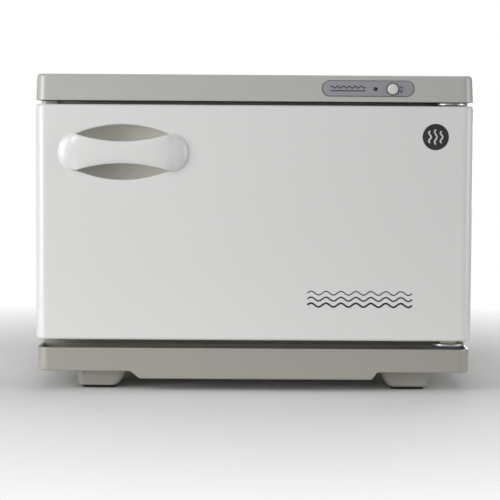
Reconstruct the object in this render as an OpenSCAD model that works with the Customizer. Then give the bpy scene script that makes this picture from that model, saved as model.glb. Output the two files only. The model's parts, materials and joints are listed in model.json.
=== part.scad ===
// Hot towel cabinet: a small heated cabinet with a side-hinged door, an aluminium chamber with a
// wire rack, a drip tray under the door and a push button in the top cap.
// Frame: +Z up, the door faces -Y, origin on the floor under the middle of the cabinet.

/* [Cabinet] */
// Width of the top cap and of the door
cabinet_w = 350; // [335:1:370]
// Depth of the top cap, from the door's front face to the back
cabinet_d = 262; // [258:1:290]
// Height of the feet, from the floor to the underside of the base
foot_h = 15.5; // [13:0.5:20]
// Height of the base housing
base_h = 20.5; // [20:0.5:26]
// Height of the steel body between the base and the cap
body_h = 196.5; // [190:0.5:220]
// Height of the top cap
cap_h = 21; // [20:0.5:26]

/* [Chamber] */
// Inner width of the chamber
chamber_w = 270; // [240:1:272]
// Inner height of the chamber
chamber_h = 146; // [130:1:148]
// Inner depth of the chamber behind the front frame
chamber_d = 172; // [150:1:174]

/* [Door] */
// Thickness of the door
door_t = 34; // [32:0.5:36]
// Gap between the door's top edge and the cap
door_top_gap = 3; // [2.5:0.1:4]
// Gap between the door's bottom edge and the top of the base
door_bottom_gap = 5; // [4.5:0.1:7]
// Gap between the back of the door and the front frame
door_back_gap = 4; // [3.5:0.1:5]
// Distance of the hinge axis from the door's right edge
hinge_inset = 17.5; // [17:0.5:20]

/* [Handle] */
// Length of the handle
handle_w = 103; // [96:0.5:110]
// Height of the handle's opening
handle_h = 44; // [42:0.5:48]
// How far the grip stands in front of the door
handle_out = 8; // [6:0.5:10]
// Distance of the handle's middle from the cabinet's middle
handle_x = 105; // [95:1:106]
// Depth of the finger cup behind the door's front face
cup_depth = 20; // [16:0.5:21]

/* [Control panel] */
// Length of the inset label
label_w = 73.4; // [70:0.1:80]
// Height of the inset label
label_h = 12.8; // [12:0.1:14]
// Radius of the push button
button_r = 4.2; // [3.5:0.1:4.6]
// Travel of the push button
button_travel = 2.5; // [1.5:0.1:2.5]

/* [Hidden] */

$fn = 48;
eps = 0.1;            // overshoot of a cut past a face
fit = 0.3;            // clearance between loose parts

// Plastic and sheet thicknesses
wall = 2.5;
sheet = 1;
liner_wall = 1.2;

// Fasteners
screw_r = 1.5;        // shank of the ordinary screws
pilot_r = 1.55;       // hole that a screw bites into
clear_r = 1.6;        // hole that a screw passes through
head_r = 3.4;
head_t = 1.8;
screw_l = 8;

// Depths, from the front
gland_out = 8;        // how far the cord gland stands behind the cap
total_d = handle_out + cabinet_d + gland_out;
front_y = handle_out - total_d / 2;
back_y = front_y + cabinet_d;
door_back_y = front_y + door_t;
frame_y = door_back_y + door_back_gap;
frame_t = 10;         // depth of the frame's visible rim
sleeve_t = 8;         // depth of the frame's part inside the shell
shell_y = frame_y + frame_t;
sleeve_y = shell_y + sleeve_t;
shell_back_y = back_y - 4;
chamber_back_y = sleeve_y + chamber_d;

// Heights, from the floor
base_z = foot_h;
body_z = base_z + base_h;
cap_z = body_z + body_h;
top_z = cap_z + cap_h;
door_z = body_z + door_bottom_gap;
door_top_z = cap_z - door_top_gap;
door_h = door_top_z - door_z;
chamber_z = body_z + (body_h - chamber_h) / 2;
chamber_top_z = chamber_z + chamber_h;

// Half widths
cap_x = cabinet_w / 2;
base_x = cap_x - 1;
body_x = cap_x - 0.5;
chamber_x = chamber_w / 2;
cap_corner = 10;
base_corner = 10;

// Front frame
frame_corner = 5;
frame_wall = 3;
frame_face = 6;       // thickness of the frame's front wall
pocket_in = 9.2;      // half width of a hinge pocket
pocket_x = chamber_x + 7.8 + pocket_in;
pocket_h = 15;
pocket_d = 3;

// Hinges
hinge_x = cap_x - hinge_inset;
hinge_y = front_y + 14.5;
pin_r = 3;
bush_bore_r = 3.05;
bush_r = 5;
bush_l = 12;          // how far a bush reaches into the door
bush_flange_r = 6.5;
boss_r = 7.5;         // boss in the door round a bush
tongue_r = 13.5;
plate_t = 1.5;
lower_plate_z = body_z + 1;
upper_plate_z = cap_z - 1 - plate_t + 0.3;
pin_reach = 13.5;     // how far each pin stands into its bush
leg_w = 15.5;
leg_h = 13;
leg_y = frame_y + pocket_d - plate_t;

// Door
door_corner_front = 9;
door_corner_back = 12;
liner_t = 2.5;
liner_x = cap_x - 13.5;
plug_out = 8;
plug_x = chamber_x - 7;
plug_z = chamber_z + 6;
plug_h = chamber_h - 12;
gasket_in_x = chamber_x + 3;
gasket_w = 8;
gasket_t = door_back_gap - fit;
liner_screws_at = [for (x = [-128, 0, 128], z = [door_z + 6.6, door_top_z - 8]) [x, z]];

// Handle: an eye-shaped opening between two wide arcs, bridged by a waisted grip
handle_pos = [-handle_x, 0, door_top_z - 38.1];
tip_x = 37;           // where the grip's edge meets the opening's edge
tip_z = 14.4;
waist = 8.7;          // half height of the grip at its middle
eye_sag = handle_h / 2 - tip_z;
eye_r = (tip_x * tip_x + eye_sag * eye_sag) / (2 * eye_sag);
waist_sag = tip_z - waist;
waist_r = (tip_x * tip_x + waist_sag * waist_sag) / (2 * waist_sag);
eye_half_w = tip_x + 1.5;
grip_t = 4.5;
leg_r = 4;
leg_x = tip_x + 9;
cup_wall = 2;
cup_flange_t = 2;

// Top cap
label_x = 90.1;
label_z = top_z - 10.3;
button_x = 109.6;
lamp_x = 95.9;
panel_z = top_z - 10.7;
label_recess = 0.8;
label_t = 0.4;
lamp_r = 1.5;
button_out = 2.2;     // how far the button stands in front of the cap
button_in = 4;        // how far its head reaches behind the cap's face
stem_in = 9.5;        // how far its stem reaches behind the cap's face
stem_r = 1.5;
board_y = front_y + 15;
board_t = 1.6;
board_screw_xs = [lamp_x - 9, button_x + 13];
wire_hole_r = 6;      // hole for the leads between the body and the cap

// Catch
catch_x = -(cap_x - 19);
catch_w = 11;
catch_h = 40;
catch_z = door_z + door_h / 2;

// Drip tray
tray_back_y = frame_y - 0.5;
tray_top_z = body_z - 1.5;
tray_floor_z = base_z + 2.8;
lip_drop = 6;
lip_top_x = 100;
lip_bottom_x = 94;

// Base
base_y = frame_y + 0.5;
shelf_x = base_x - 3.5;
shelf_back_y = base_y + 14;

// Feet
foot_x = 123.5;
foot_w = 40;
foot_taper_in = 7.5;  // how far a foot narrows on its inner side
foot_taper_out = 2;
foot_d = 48;
pad_w = 26.5;
pad_shift = 2.25;     // how far a pad's middle lies outside its foot's
pad_t = 2;
foot_ys = [front_y + 39, back_y - 31];
foot_screw_ys = [foot_ys[0] + 8, foot_ys[1]];
foot_screw_r = 2;
foot_bore_r = 4.6;    // recess for a foot screw's head

// Rear
gland_x = -120;
gland_z = body_z + 14;
gland_bore_r = 3.75;
gland_r = 6;
back_flange = 11;
block_x = -84;
wire_x = 100;
wire_y = chamber_back_y + 17;
back_screws_at = [for (x = [-1, 1], z = [0.1, 0.5, 0.92]) [x * (body_x - 6), body_z + z * body_h]];
cap_screw_xs = [-140, 0, 140];
cap_screw_z = cap_z + 8;
chamber_screws_at = [for (x = [-1, 1], z = [0.2, 0.8]) [x * (chamber_x + 8), chamber_z + z * chamber_h]];

// Heater
heat_y = 20;
fuse_x = 60;

// Wire rack
rack_x = chamber_x - 8;
rack_front_y = sleeve_y - 1;
rack_back_y = chamber_back_y - 5;
rack_rod_r = 2;
rack_wire_r = 1.3;
rack_bend = 8;
rack_z = chamber_z + 14;
rack_wires = 16;

// Colours
grey_plastic = [0.68, 0.69, 0.66];
white_plastic = [0.93, 0.93, 0.92];
white_paint = [0.91, 0.91, 0.9];
bare_aluminium = [0.82, 0.83, 0.84];
bare_steel = [0.7, 0.71, 0.72];
black_rubber = [0.08, 0.08, 0.08];
silicone = [0.86, 0.86, 0.84];
heater_red = [0.72, 0.28, 0.16];
wool = [0.88, 0.84, 0.68];

// ---------- shared shapes ----------

// A box between two corners
module box_between(low, high) {
    translate(low) cube(high - low);
}

// A plan outline with its own corner radius at the front and at the back
module plan(x, y0, y1, r_front, r_back) {
    mid_y = (y0 + r_front + y1 - r_back) / 2;
    translate([-x, y0 + r_front]) square([2 * x, y1 - y0 - r_front - r_back]);
    if (r_front > 0) {
        translate([r_front - x, y0]) square([2 * (x - r_front), mid_y - y0]);
        for (side = [-1, 1]) translate([side * (x - r_front), y0 + r_front]) circle(r_front);
    }
    if (r_back > 0) {
        translate([r_back - x, mid_y]) square([2 * (x - r_back), y1 - mid_y]);
        for (side = [-1, 1]) translate([side * (x - r_back), y1 - r_back]) circle(r_back);
    }
}

module rounded_rect(w, h, r) {
    square([w - 2 * r, h], center = true);
    square([w, h - 2 * r], center = true);
    for (x = [-1, 1], y = [-1, 1]) translate([x * (w / 2 - r), y * (h / 2 - r)]) circle(r);
}

// Extrudes a front-view outline, drawn in X and Z, from y0 back to y1
module along_y(y0, y1) {
    translate([0, y1, 0]) rotate([90, 0, 0]) linear_extrude(y1 - y0) children();
}

// A cylinder that runs along Y from y0 to y1
module rod_y(r, y0, y1) {
    translate([0, y1, 0]) rotate([90, 0, 0]) cylinder(r = r, h = y1 - y0);
}

// A pan-head screw whose head, of radius r and thickness t, ends at y = 0 where the shank starts
module screw_in(r, t, shank_r, shank_l) {
    rod_y(r, -t, 0);
    rod_y(shank_r, -eps, shank_l);
}

// A front-view ring: a rounded rectangle with a rounded rectangular hole
module ring_xz(outer_w, outer_h, outer_r, inner_w, inner_h, inner_r) {
    difference() {
        rounded_rect(outer_w, outer_h, outer_r);
        rounded_rect(inner_w, inner_h, inner_r);
    }
}

// ---------- cabinet body ----------

// Wrapped steel sheet: two sides and a top, with flanges for the back panel and the base
module outer_shell() {
    color(white_paint) {
        difference() {
            box_between([-body_x, shell_y, body_z], [body_x, shell_back_y, cap_z]);
            box_between([sheet - body_x, shell_y - eps, body_z - eps],
                        [body_x - sheet, shell_back_y - sheet, cap_z - sheet]);
            box_between([back_flange - body_x, shell_back_y - 2 * sheet, body_z - eps],
                        [body_x - back_flange, shell_back_y + eps, cap_z - back_flange]);
            translate([wire_x, wire_y, cap_z - 2 * sheet]) cylinder(r = wire_hole_r, h = 4 * sheet);
            for (p = back_screws_at) translate([p[0], 0, p[1]])
                rod_y(clear_r, shell_back_y - 2 * sheet, shell_back_y + eps);
        }
        for (side = [-1, 1]) mirror([side < 0 ? 1 : 0, 0, 0])
            box_between([body_x - back_flange, sleeve_y + 1, body_z],
                        [body_x - sheet / 2, shell_back_y - sheet / 2, body_z + sheet]);
    }
}

module back_panel() {
    vents = 9;
    vent_pitch = 16;
    color(white_paint) difference() {
        box_between([1 - body_x, shell_back_y, body_z + 1], [body_x - 1, shell_back_y + sheet, cap_z - 1]);
        for (i = [0 : vents - 1], row = [0, 1])
            translate([(i - (vents - 1) / 2) * vent_pitch + 40, 0, gland_z - 4 + 9 * row])
                along_y(shell_back_y - eps, shell_back_y + sheet + eps) rounded_rect(11, 3, 1.4);
        translate([gland_x, 0, gland_z])
            rod_y(gland_r + 0.1, shell_back_y - eps, shell_back_y + sheet + eps);
        for (p = back_screws_at) translate([p[0], 0, p[1]])
            rod_y(clear_r, shell_back_y - eps, shell_back_y + sheet + eps);
    }
}

// Moulded floor of the cabinet, open at the top inside a ledge
module base_housing() {
    slots = 10;
    slot_pitch = 14;
    color(grey_plastic) difference() {
        union() {
            difference() {
                translate([0, 0, base_z]) linear_extrude(base_h)
                    plan(base_x, base_y, back_y, 2, base_corner);
                translate([0, 0, base_z + wall]) linear_extrude(base_h - 2 * wall)
                    plan(base_x - wall, base_y + wall, back_y - wall, 1, base_corner - wall);
                box_between([14 - base_x, base_y + 12, body_z - 2 * wall],
                            [base_x - 14, back_y - 14, body_z + eps]);
            }
            // The floor steps up over the shelf
            box_between([-shelf_x - 3, base_y + 1, base_z + 1],
                        [shelf_x + 3, shelf_back_y + 3, base_z + 2 * wall]);
            for (x = [-foot_x, foot_x], y = foot_screw_ys)
                translate([x, y, base_z + 1]) cylinder(r = 5, h = 11);
        }
        box_between([-shelf_x - 0.2, base_y - 1, base_z - eps],
                    [shelf_x + 0.2, shelf_back_y + 0.2, base_z + wall + 0.1]);
        for (x = [-foot_x, foot_x], y = foot_screw_ys)
            translate([x, y, base_z - eps]) cylinder(r = foot_screw_r + 0.05, h = 20);
        for (i = [0 : slots - 1])
            translate([(i - (slots - 1) / 2) * slot_pitch, 20, base_z - eps])
                linear_extrude(wall + 2 * eps) rounded_rect(4, 70, 1.9);
    }
}

// Flat shelf let into the front of the base, which carries the drip tray
module tray_shelf() {
    color(grey_plastic) difference() {
        translate([0, 0, base_z]) linear_extrude(wall)
            plan(shelf_x, front_y + 3.5, shelf_back_y, base_corner - 3, 0);
        for (x = [-foot_x, foot_x])
            translate([x, foot_screw_ys[0], base_z - eps]) cylinder(r = foot_screw_r + 0.05, h = wall + 1);
    }
}

// Front-view stadium outline
module stadium(w, h) {
    square([w - h, h], center = true);
    for (side = [-1, 1]) translate([side * (w - h) / 2, 0]) circle(h / 2);
}

module top_cap() {
    color(grey_plastic) difference() {
        union() {
            difference() {
                translate([0, 0, cap_z]) linear_extrude(cap_h)
                    plan(cap_x, front_y, back_y, cap_corner, cap_corner);
                translate([0, 0, cap_z - eps]) linear_extrude(cap_h - wall + eps)
                    plan(cap_x - wall, front_y + wall, back_y - wall, cap_corner - wall, cap_corner - wall);
            }
            for (x = board_screw_xs)
                translate([x, 0, panel_z]) rod_y(3, front_y + 1, board_y);
        }
        translate([label_x, 0, label_z]) along_y(front_y - eps, front_y + label_recess)
            stadium(label_w + 0.6, label_h + 0.6);
        translate([button_x, 0, panel_z]) rod_y(button_r + fit, front_y - eps, front_y + wall + eps);
        translate([lamp_x, 0, panel_z]) rod_y(lamp_r + 0.1, front_y - eps, front_y + wall + eps);
        for (x = board_screw_xs)
            translate([x, 0, panel_z]) rod_y(1.1, board_y - 7, board_y + eps);
        for (x = cap_screw_xs) translate([x, 0, cap_screw_z])
            rod_y(clear_r + 0.1, back_y - wall - eps, back_y + eps);
    }
}

// Steel floor of the control compartment, with an upturned edge that takes the cap's screws
module cap_plate() {
    low_z = cap_z + fit;
    color(bare_steel) difference() {
        union() {
            translate([0, 0, low_z]) linear_extrude(sheet)
                plan(cap_x - wall - fit, front_y + wall + fit, back_y - wall - fit, 7, 7);
            box_between([-150, back_y - wall - fit - sheet, low_z], [150, back_y - wall - fit, cap_z + 14]);
        }
        translate([wire_x, wire_y, low_z - eps]) cylinder(r = wire_hole_r, h = 2 * sheet);
        for (x = cap_screw_xs) translate([x, 0, cap_screw_z])
            rod_y(pilot_r, back_y - wall - 2 * sheet, back_y - wall);
    }
}

// Moulded frame round the chamber's mouth, with hinge pockets at all four corners
module front_frame() {
    color(grey_plastic) difference() {
        union() {
            difference() {
                union() {
                    translate([0, 0, body_z]) linear_extrude(body_h)
                        plan(body_x, frame_y, shell_y, frame_corner, 0);
                    box_between([1.2 - body_x, shell_y - 1, body_z + 0.2],
                                [body_x - 1.2, sleeve_y, cap_z - 1.2]);
                }
                difference() {
                    box_between([frame_wall + 1.2 - body_x, frame_y + frame_face, body_z + frame_wall],
                                [body_x - frame_wall - 1.2, sleeve_y + eps, cap_z - frame_wall - 1]);
                    box_between([-chamber_x - frame_wall, frame_y, chamber_z - frame_wall],
                                [chamber_x + frame_wall, sleeve_y + 1, chamber_top_z + frame_wall]);
                }
            }
            for (x = [-pocket_x, pocket_x], z = hinge_screw_zs())
                translate([x, 0, z]) rod_y(4, frame_y + frame_face - 1, sleeve_y - 1);
            for (p = chamber_screws_at) translate([p[0], 0, p[1]])
                rod_y(3.5, frame_y + frame_face - 1, sleeve_y);
        }
        for (p = chamber_screws_at) translate([p[0], 0, p[1]])
            rod_y(pilot_r, sleeve_y - 9, sleeve_y + 1);
        translate([0, 0, (chamber_z + chamber_top_z) / 2]) along_y(frame_y - 1, sleeve_y + 1)
            rounded_rect(chamber_w, chamber_h, 5);
        for (x = [-pocket_x, pocket_x], z = [body_z, cap_z - pocket_h])
            box_between([x - pocket_in, frame_y - 1, z - eps],
                        [x + pocket_in, frame_y + pocket_d, z + pocket_h + eps]);
        for (x = [-pocket_x, pocket_x], z = hinge_screw_zs())
            translate([x, 0, z]) rod_y(pilot_r, frame_y, frame_y + 14);
        box_between([catch_x - catch_w / 2, frame_y - 1, catch_z - catch_h / 2],
                    [catch_x + catch_w / 2, frame_y + 4, catch_z + catch_h / 2]);
    }
}

// Folded aluminium box, open at the front, with a flange behind the frame
module chamber() {
    flange = 13;
    color(bare_aluminium) difference() {
        union() {
            box_between([-chamber_x - liner_wall, sleeve_y, chamber_z - liner_wall],
                        [chamber_x + liner_wall, chamber_back_y + liner_wall, chamber_top_z + liner_wall]);
            box_between([-chamber_x - flange, sleeve_y, chamber_z - flange],
                        [chamber_x + flange, sleeve_y + liner_wall, chamber_top_z + flange]);
        }
        box_between([-chamber_x, sleeve_y - eps, chamber_z], [chamber_x, chamber_back_y, chamber_top_z]);
        for (p = chamber_screws_at) translate([p[0], 0, p[1]])
            rod_y(clear_r, sleeve_y - eps, sleeve_y + liner_wall + eps);
    }
}

// Glass-wool slabs on five sides of the chamber
module insulation() {
    gap = liner_wall + 0.4;
    slab = 18;
    thin_slab = 12;
    x0 = chamber_x + gap;
    x1 = x0 + slab;
    y0 = sleeve_y + 3;
    y1 = chamber_back_y + gap;
    top = chamber_top_z + gap + slab;
    bottom = chamber_z - 5.5;
    color(wool) {
        for (side = [-1, 1]) mirror([side < 0 ? 1 : 0, 0, 0])
            box_between([x0, y0, chamber_z - 4], [x1, y1, top]);
        box_between([0.4 - x0, y0, chamber_top_z + gap], [x0 - 0.4, y1, top]);
        box_between([-x1, y1 + 0.4, chamber_z - 4], [x1, y1 + thin_slab, top]);
        difference() {
            box_between([-x1, y0, bottom - thin_slab], [x1, y1, bottom]);
            translate([0, heat_y, bottom - thin_slab - eps]) cylinder(r = 14, h = thin_slab + 1);
            box_between([fuse_x - 18, heat_y - 6, bottom - thin_slab - eps],
                        [fuse_x + 18, heat_y + 6, bottom + eps]);
        }
    }
}

// Silicone heating sheet bonded under the chamber, with a raised serpentine element
module heater_mat() {
    top = chamber_z - liner_wall;
    runs = 11;
    pitch = 17;
    color(heater_red) {
        translate([0, 10, top - 1.2]) linear_extrude(1.2) rounded_rect(220, 140, 6);
        for (i = [0 : runs - 1]) translate([(i - (runs - 1) / 2) * pitch, 10, top - 2])
            linear_extrude(1) square([3, i == 5 || i == 8 ? 60 : 124], center = true);
    }
}

// Snap-action disc thermostat on a two-eared bracket, under the heater
module thermostat() {
    top = chamber_z - liner_wall - 2.2;
    color([0.25, 0.25, 0.26]) translate([0, heat_y, 0]) {
        translate([0, 0, top - 1]) linear_extrude(1) {
            circle(8.5);
            square([26, 8], center = true);
        }
        translate([0, 0, top - 9]) cylinder(r = 8, h = 8.5);
        for (x = [-4, 4]) box_between([x - 0.4, -3, top - 17], [x + 0.4, 3, top - 8.5]);
    }
}

// One-shot thermal fuse in a sleeve, clamped under the heater
module thermal_fuse() {
    top = chamber_z - liner_wall - 2.2;
    color([0.85, 0.8, 0.7]) translate([fuse_x, heat_y, top - 3.2]) {
        rotate([0, 90, 0]) cylinder(r = 2.6, h = 18, center = true);
        for (x = [-12, 12]) translate([x, 0, 0]) rotate([0, 90, 0]) cylinder(r = 0.6, h = 8, center = true);
    }
}

module terminal_block() {
    ways = 4;
    pitch = 9;
    z = base_z + wall + 0.2;
    color([0.9, 0.9, 0.88]) translate([block_x, wire_y - 12, z]) difference() {
        union() {
            box_between([-ways * pitch / 2, -8, 0], [ways * pitch / 2, 8, 8]);
            for (i = [0 : ways - 1]) translate([(i - (ways - 1) / 2) * pitch, 0, 7])
                cylinder(r = 3.4, h = 5);
        }
        for (i = [0 : ways - 1]) translate([(i - (ways - 1) / 2) * pitch, 0, 9])
            cylinder(r = 2.2, h = 4);
    }
}

// ---------- wiring: round leads swept along smoothed routes ----------

function unit(v) = v / norm(v);

// Cuts every corner of a route once
function cut_corners(p) = concat(
    [p[0]],
    [for (i = [0 : len(p) - 2], t = [0.25, 0.75]) p[i] + t * (p[i + 1] - p[i])],
    [p[len(p) - 1]]);

function tangent(p, i) = unit(p[min(i + 1, len(p) - 1)] - p[max(i - 1, 0)]);

// One normal per point, each carried on from the last, so that the tube doesn't twist
function normals(p, i = 0, last = [0.3, 0.2, 1]) = i == len(p) ? [] :
    let (t = tangent(p, i), n = unit(last - (last * t) * t)) concat([n], normals(p, i + 1, n));

module tube(route, r, sides = 6) {
    p = cut_corners(cut_corners(route));
    n = normals(p);
    rings = len(p);
    points = [for (i = [0 : rings - 1], k = [0 : sides - 1])
        let (t = tangent(p, i), b = cross(t, n[i]), a = 360 * k / sides)
        p[i] + r * (cos(a) * n[i] + sin(a) * b)];
    walls = [for (i = [0 : rings - 2], k = [0 : sides - 1]) let (k2 = (k + 1) % sides)
        [i * sides + k, (i + 1) * sides + k, (i + 1) * sides + k2, i * sides + k2]];
    ends = [[for (k = [0 : sides - 1]) k],
            [for (k = [sides - 1 : -1 : 0]) (rings - 1) * sides + k]];
    polyhedron(points, concat(walls, ends));
}

module wiring() {
    block = [block_x, wire_y - 12, base_z + wall + 13];
    lead_r = 1.2;
    plate_z = chamber_z - liner_wall - 20;
    for (side = [-1, 1]) {
        off = [2 * side, 0, 0];
        color([0.55, 0.1, 0.08]) tube([block + [7.5 + off[0], 3, 0], block + [9 + off[0], 9, 5],
            [wire_x + off[0], wire_y + 1, base_z + 18], [wire_x + off[0], wire_y, base_z + 50],
            [wire_x + off[0], wire_y, cap_z - 20], [wire_x + off[0], wire_y, cap_z + 9],
            [button_x - 6 + off[0], wire_y - 14, cap_z + 10],
            [button_x - 6 + off[0], board_y + 20, cap_z + 10],
            [button_x - 6 + off[0], board_y + 3, cap_z + 10]], lead_r);
        color([0.1, 0.2, 0.5]) tube([block + [-7.5 + off[0], -3, 0], block + [-4 + off[0], -26, 0],
            [-60 + off[0], 44, base_z + 13], [4 * side, 34, plate_z - 6],
            [4 * side, 24.5, plate_z + 1]], lead_r);
    }
}

// Rubber grommet where the leads pass into the cap
module wire_grommet() {
    color(black_rubber) translate([wire_x, wire_y, 0]) rotate_extrude()
        polygon([[4, cap_z - 3], [8, cap_z - 3], [8, cap_z - 1.1], [5.9, cap_z - 1.1],
                 [5.9, cap_z + 1.4], [8, cap_z + 1.4], [8, cap_z + 3], [4, cap_z + 3]]);
}

// Cord bushing in the back panel: outer flange, nut inside, open bore
module cord_gland() {
    y0 = shell_back_y;
    color(black_rubber) translate([gland_x, 0, gland_z]) difference() {
        union() {
            rod_y(gland_r, y0 - 8, y0 + 2);
            rod_y(9.5, y0 + sheet, y0 + sheet + 3);
            rod_y(6.6, y0 + sheet + 2, back_y + gland_out);
            translate([0, y0, 0]) rotate([90, 0, 0]) cylinder(r = 9, h = 5, $fn = 6);
        }
        rod_y(gland_bore_r, y0 - 9, back_y + gland_out + 1);
    }
}

// ---------- feet ----------

// Insets and heights of a foot's side that narrows by taper towards the floor
function foot_side(taper) = [
    [taper, pad_t], [taper * 0.9, pad_t + 1.6], [taper * 0.2, foot_h * 0.6], [0, foot_h]];

// A foot whose inner side is on -X, with rounded corners in plan
module foot() {
    inner = foot_side(foot_taper_in);
    outer = foot_side(foot_taper_out);
    last = len(inner) - 1;
    intersection() {
        along_y(-foot_d / 2, foot_d / 2) polygon(concat(
            [for (p = outer) [foot_w / 2 - p[0], p[1]]],
            [for (i = [last : -1 : 0]) [inner[i][0] - foot_w / 2, inner[i][1]]]));
        linear_extrude(foot_h + 1) rounded_rect(foot_w + 1, foot_d, 5);
    }
}

module feet() {
    color(grey_plastic) for (side = [-1, 1], i = [0, 1]) difference() {
        translate([side * foot_x, foot_ys[i], 0]) mirror([side < 0 ? 1 : 0, 0, 0]) foot();
        translate([side * foot_x, foot_screw_ys[i], -eps]) {
            cylinder(r = foot_screw_r + 0.2, h = foot_h + 1);
            cylinder(r = foot_bore_r, h = foot_h - 6);
        }
    }
}

module foot_pads() {
    color(black_rubber) for (side = [-1, 1], i = [0, 1]) difference() {
        translate([side * (foot_x + pad_shift), foot_ys[i], 0])
            linear_extrude(pad_t) rounded_rect(pad_w, foot_d - 5, 4);
        translate([side * foot_x, foot_screw_ys[i], -eps]) cylinder(r = foot_bore_r, h = pad_t + 1);
    }
}

module foot_screws() {
    color(bare_steel) for (x = [-foot_x, foot_x], y = foot_screw_ys) translate([x, y, 0]) difference() {
        union() {
            translate([0, 0, foot_h - 8.4]) cylinder(r = 3.8, h = 2.3);
            translate([0, 0, foot_h - 7]) cylinder(r = foot_screw_r, h = 16);
        }
        translate([0, 0, foot_h - 8.5]) cross_slot(1.2);
    }
}

// ---------- fasteners ----------

// Cross-head recess, cut upwards from z = 0
module cross_slot(depth) {
    linear_extrude(depth) {
        square([3.6, 0.9], center = true);
        square([0.9, 3.6], center = true);
    }
}

// A screw whose head stands on the back of a panel at y and whose shank runs towards -Y
module screw_from_back(y, r, t, shank_r, shank_l) {
    difference() {
        translate([0, y, 0]) mirror([0, 1, 0]) screw_in(r, t, shank_r, shank_l);
        translate([0, y + t + 0.01, 0]) rotate([90, 0, 0]) cross_slot(0.9);
    }
}

// A screw whose head stands on a face at y, seen from the front
module screw_from_front(y, r, t, shank_r, shank_l) {
    translate([0, y, 0]) difference() {
        screw_in(r, t, shank_r, shank_l);
        translate([0, -t - 0.01, 0]) rotate([-90, 0, 0]) cross_slot(0.8);
    }
}

module cap_screws() {
    color(bare_steel) for (x = cap_screw_xs) translate([x, 0, cap_screw_z])
        screw_from_back(back_y, head_r, head_t, screw_r, screw_l);
}

module back_screws() {
    color(bare_steel) for (p = back_screws_at) translate([p[0], 0, p[1]])
        screw_from_back(shell_back_y + sheet, head_r, head_t, screw_r, screw_l);
}

module chamber_screws() {
    color(bare_steel) for (p = chamber_screws_at) translate([p[0], 0, p[1]])
        screw_from_back(sleeve_y + liner_wall, 3, 1.6, screw_r, screw_l + 1);
}

// ---------- hinges ----------

function hinge_screw_zs() = [lower_plate_z + leg_h - 4, upper_plate_z + plate_t - leg_h + 4];

// An L-shaped plate: a tongue over the hinge axis and a leg in the frame's pocket.
// up is 1 where the leg stands above the tongue and -1 where it hangs below it.
module hinge_plate(z, up) {
    leg_x0 = pocket_x - leg_w / 2;
    leg_z0 = up > 0 ? z : z + plate_t - leg_h;
    screw_z = up > 0 ? z + leg_h - 4 : z + plate_t - leg_h + 4;
    color(bare_steel) difference() {
        union() {
            translate([0, 0, z]) linear_extrude(plate_t) {
                translate([hinge_x, hinge_y]) circle(tongue_r);
                translate([hinge_x - tongue_r, hinge_y]) square([2 * tongue_r, frame_y - 3 - hinge_y]);
                translate([leg_x0, frame_y - 6]) square([leg_w, 6 + pocket_d]);
            }
            box_between([leg_x0, leg_y, leg_z0], [leg_x0 + leg_w, leg_y + plate_t, leg_z0 + leg_h]);
        }
        translate([hinge_x, hinge_y, z - eps]) cylinder(r = 2, h = plate_t + 2 * eps);
        translate([pocket_x, 0, screw_z]) rod_y(clear_r, leg_y - 1, leg_y + plate_t + 1);
    }
}

module hinge_plate_lower() {
    hinge_plate(lower_plate_z, 1);
}

module hinge_plate_upper() {
    hinge_plate(upper_plate_z, -1);
}

// Riveted pins: the lower one points up into the door and the upper one points down
module hinge_pins() {
    color(bare_steel) translate([hinge_x, hinge_y, 0]) {
        translate([0, 0, lower_plate_z + plate_t]) cylinder(r = pin_r, h = pin_reach);
        translate([0, 0, lower_plate_z]) cylinder(r = 2, h = plate_t + 1);
        translate([0, 0, lower_plate_z - 0.6]) cylinder(r = 3.2, h = 0.6);
        translate([0, 0, upper_plate_z - pin_reach]) cylinder(r = pin_r, h = pin_reach);
        translate([0, 0, upper_plate_z - 1]) cylinder(r = 2, h = plate_t + 1);
        translate([0, 0, upper_plate_z + plate_t]) cylinder(r = 3.2, h = 0.5);
    }
}

module hinge_screws() {
    color(bare_steel) for (z = hinge_screw_zs()) translate([pocket_x, 0, z])
        screw_from_front(leg_y, 3, 1.2, screw_r, 1.5 * screw_l);
}

module catch_magnet() {
    color([0.2, 0.2, 0.21]) box_between(
        [catch_x - catch_w / 2 + 0.1, frame_y - 2, catch_z - catch_h / 2 + 0.1],
        [catch_x + catch_w / 2 - 0.1, frame_y + 3.9, catch_z + catch_h / 2 - 0.1]);
}

// ---------- control panel ----------

module control_label() {
    color([0.56, 0.55, 0.6]) difference() {
        translate([label_x, 0, label_z])
            along_y(front_y + label_recess - label_t, front_y + label_recess) stadium(label_w, label_h);
        translate([button_x, 0, panel_z]) rod_y(button_r + fit, front_y - eps, front_y + 2);
        translate([lamp_x, 0, panel_z]) rod_y(lamp_r + 0.1, front_y - eps, front_y + 2);
    }
}

module indicator_lamp() {
    color([0.2, 0.03, 0.04]) translate([lamp_x, 0, panel_z]) {
        rod_y(lamp_r, front_y - 0.1, front_y + 6);
        rod_y(2.4, front_y + wall + 0.2, front_y + 5);
        for (x = [-1, 1]) translate([x, 0, 0]) rod_y(0.3, front_y + 5, board_y);
    }
}

// Latching push switch: the plunger of the button runs in its bore
module switch_body() {
    y0 = front_y + button_in + button_travel + 0.5;
    color([0.15, 0.15, 0.16]) translate([button_x, 0, panel_z]) difference() {
        box_between([-5, y0, -5], [5, board_y, 5]);
        rod_y(stem_r + 0.1, y0 - eps, front_y + stem_in + button_travel + 1.5);
    }
}

module control_board() {
    color([0.1, 0.32, 0.18]) difference() {
        box_between([lamp_x - 14, board_y, panel_z - 7], [button_x + 18, board_y + board_t, panel_z + 6.5]);
        for (x = board_screw_xs) translate([x, 0, panel_z])
            rod_y(1.3, board_y - eps, board_y + 2);
    }
}

module board_screws() {
    color(bare_steel) for (x = board_screw_xs) translate([x, 0, panel_z])
        screw_from_back(board_y + board_t, 2.4, 1.4, 1, 7);
}

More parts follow.
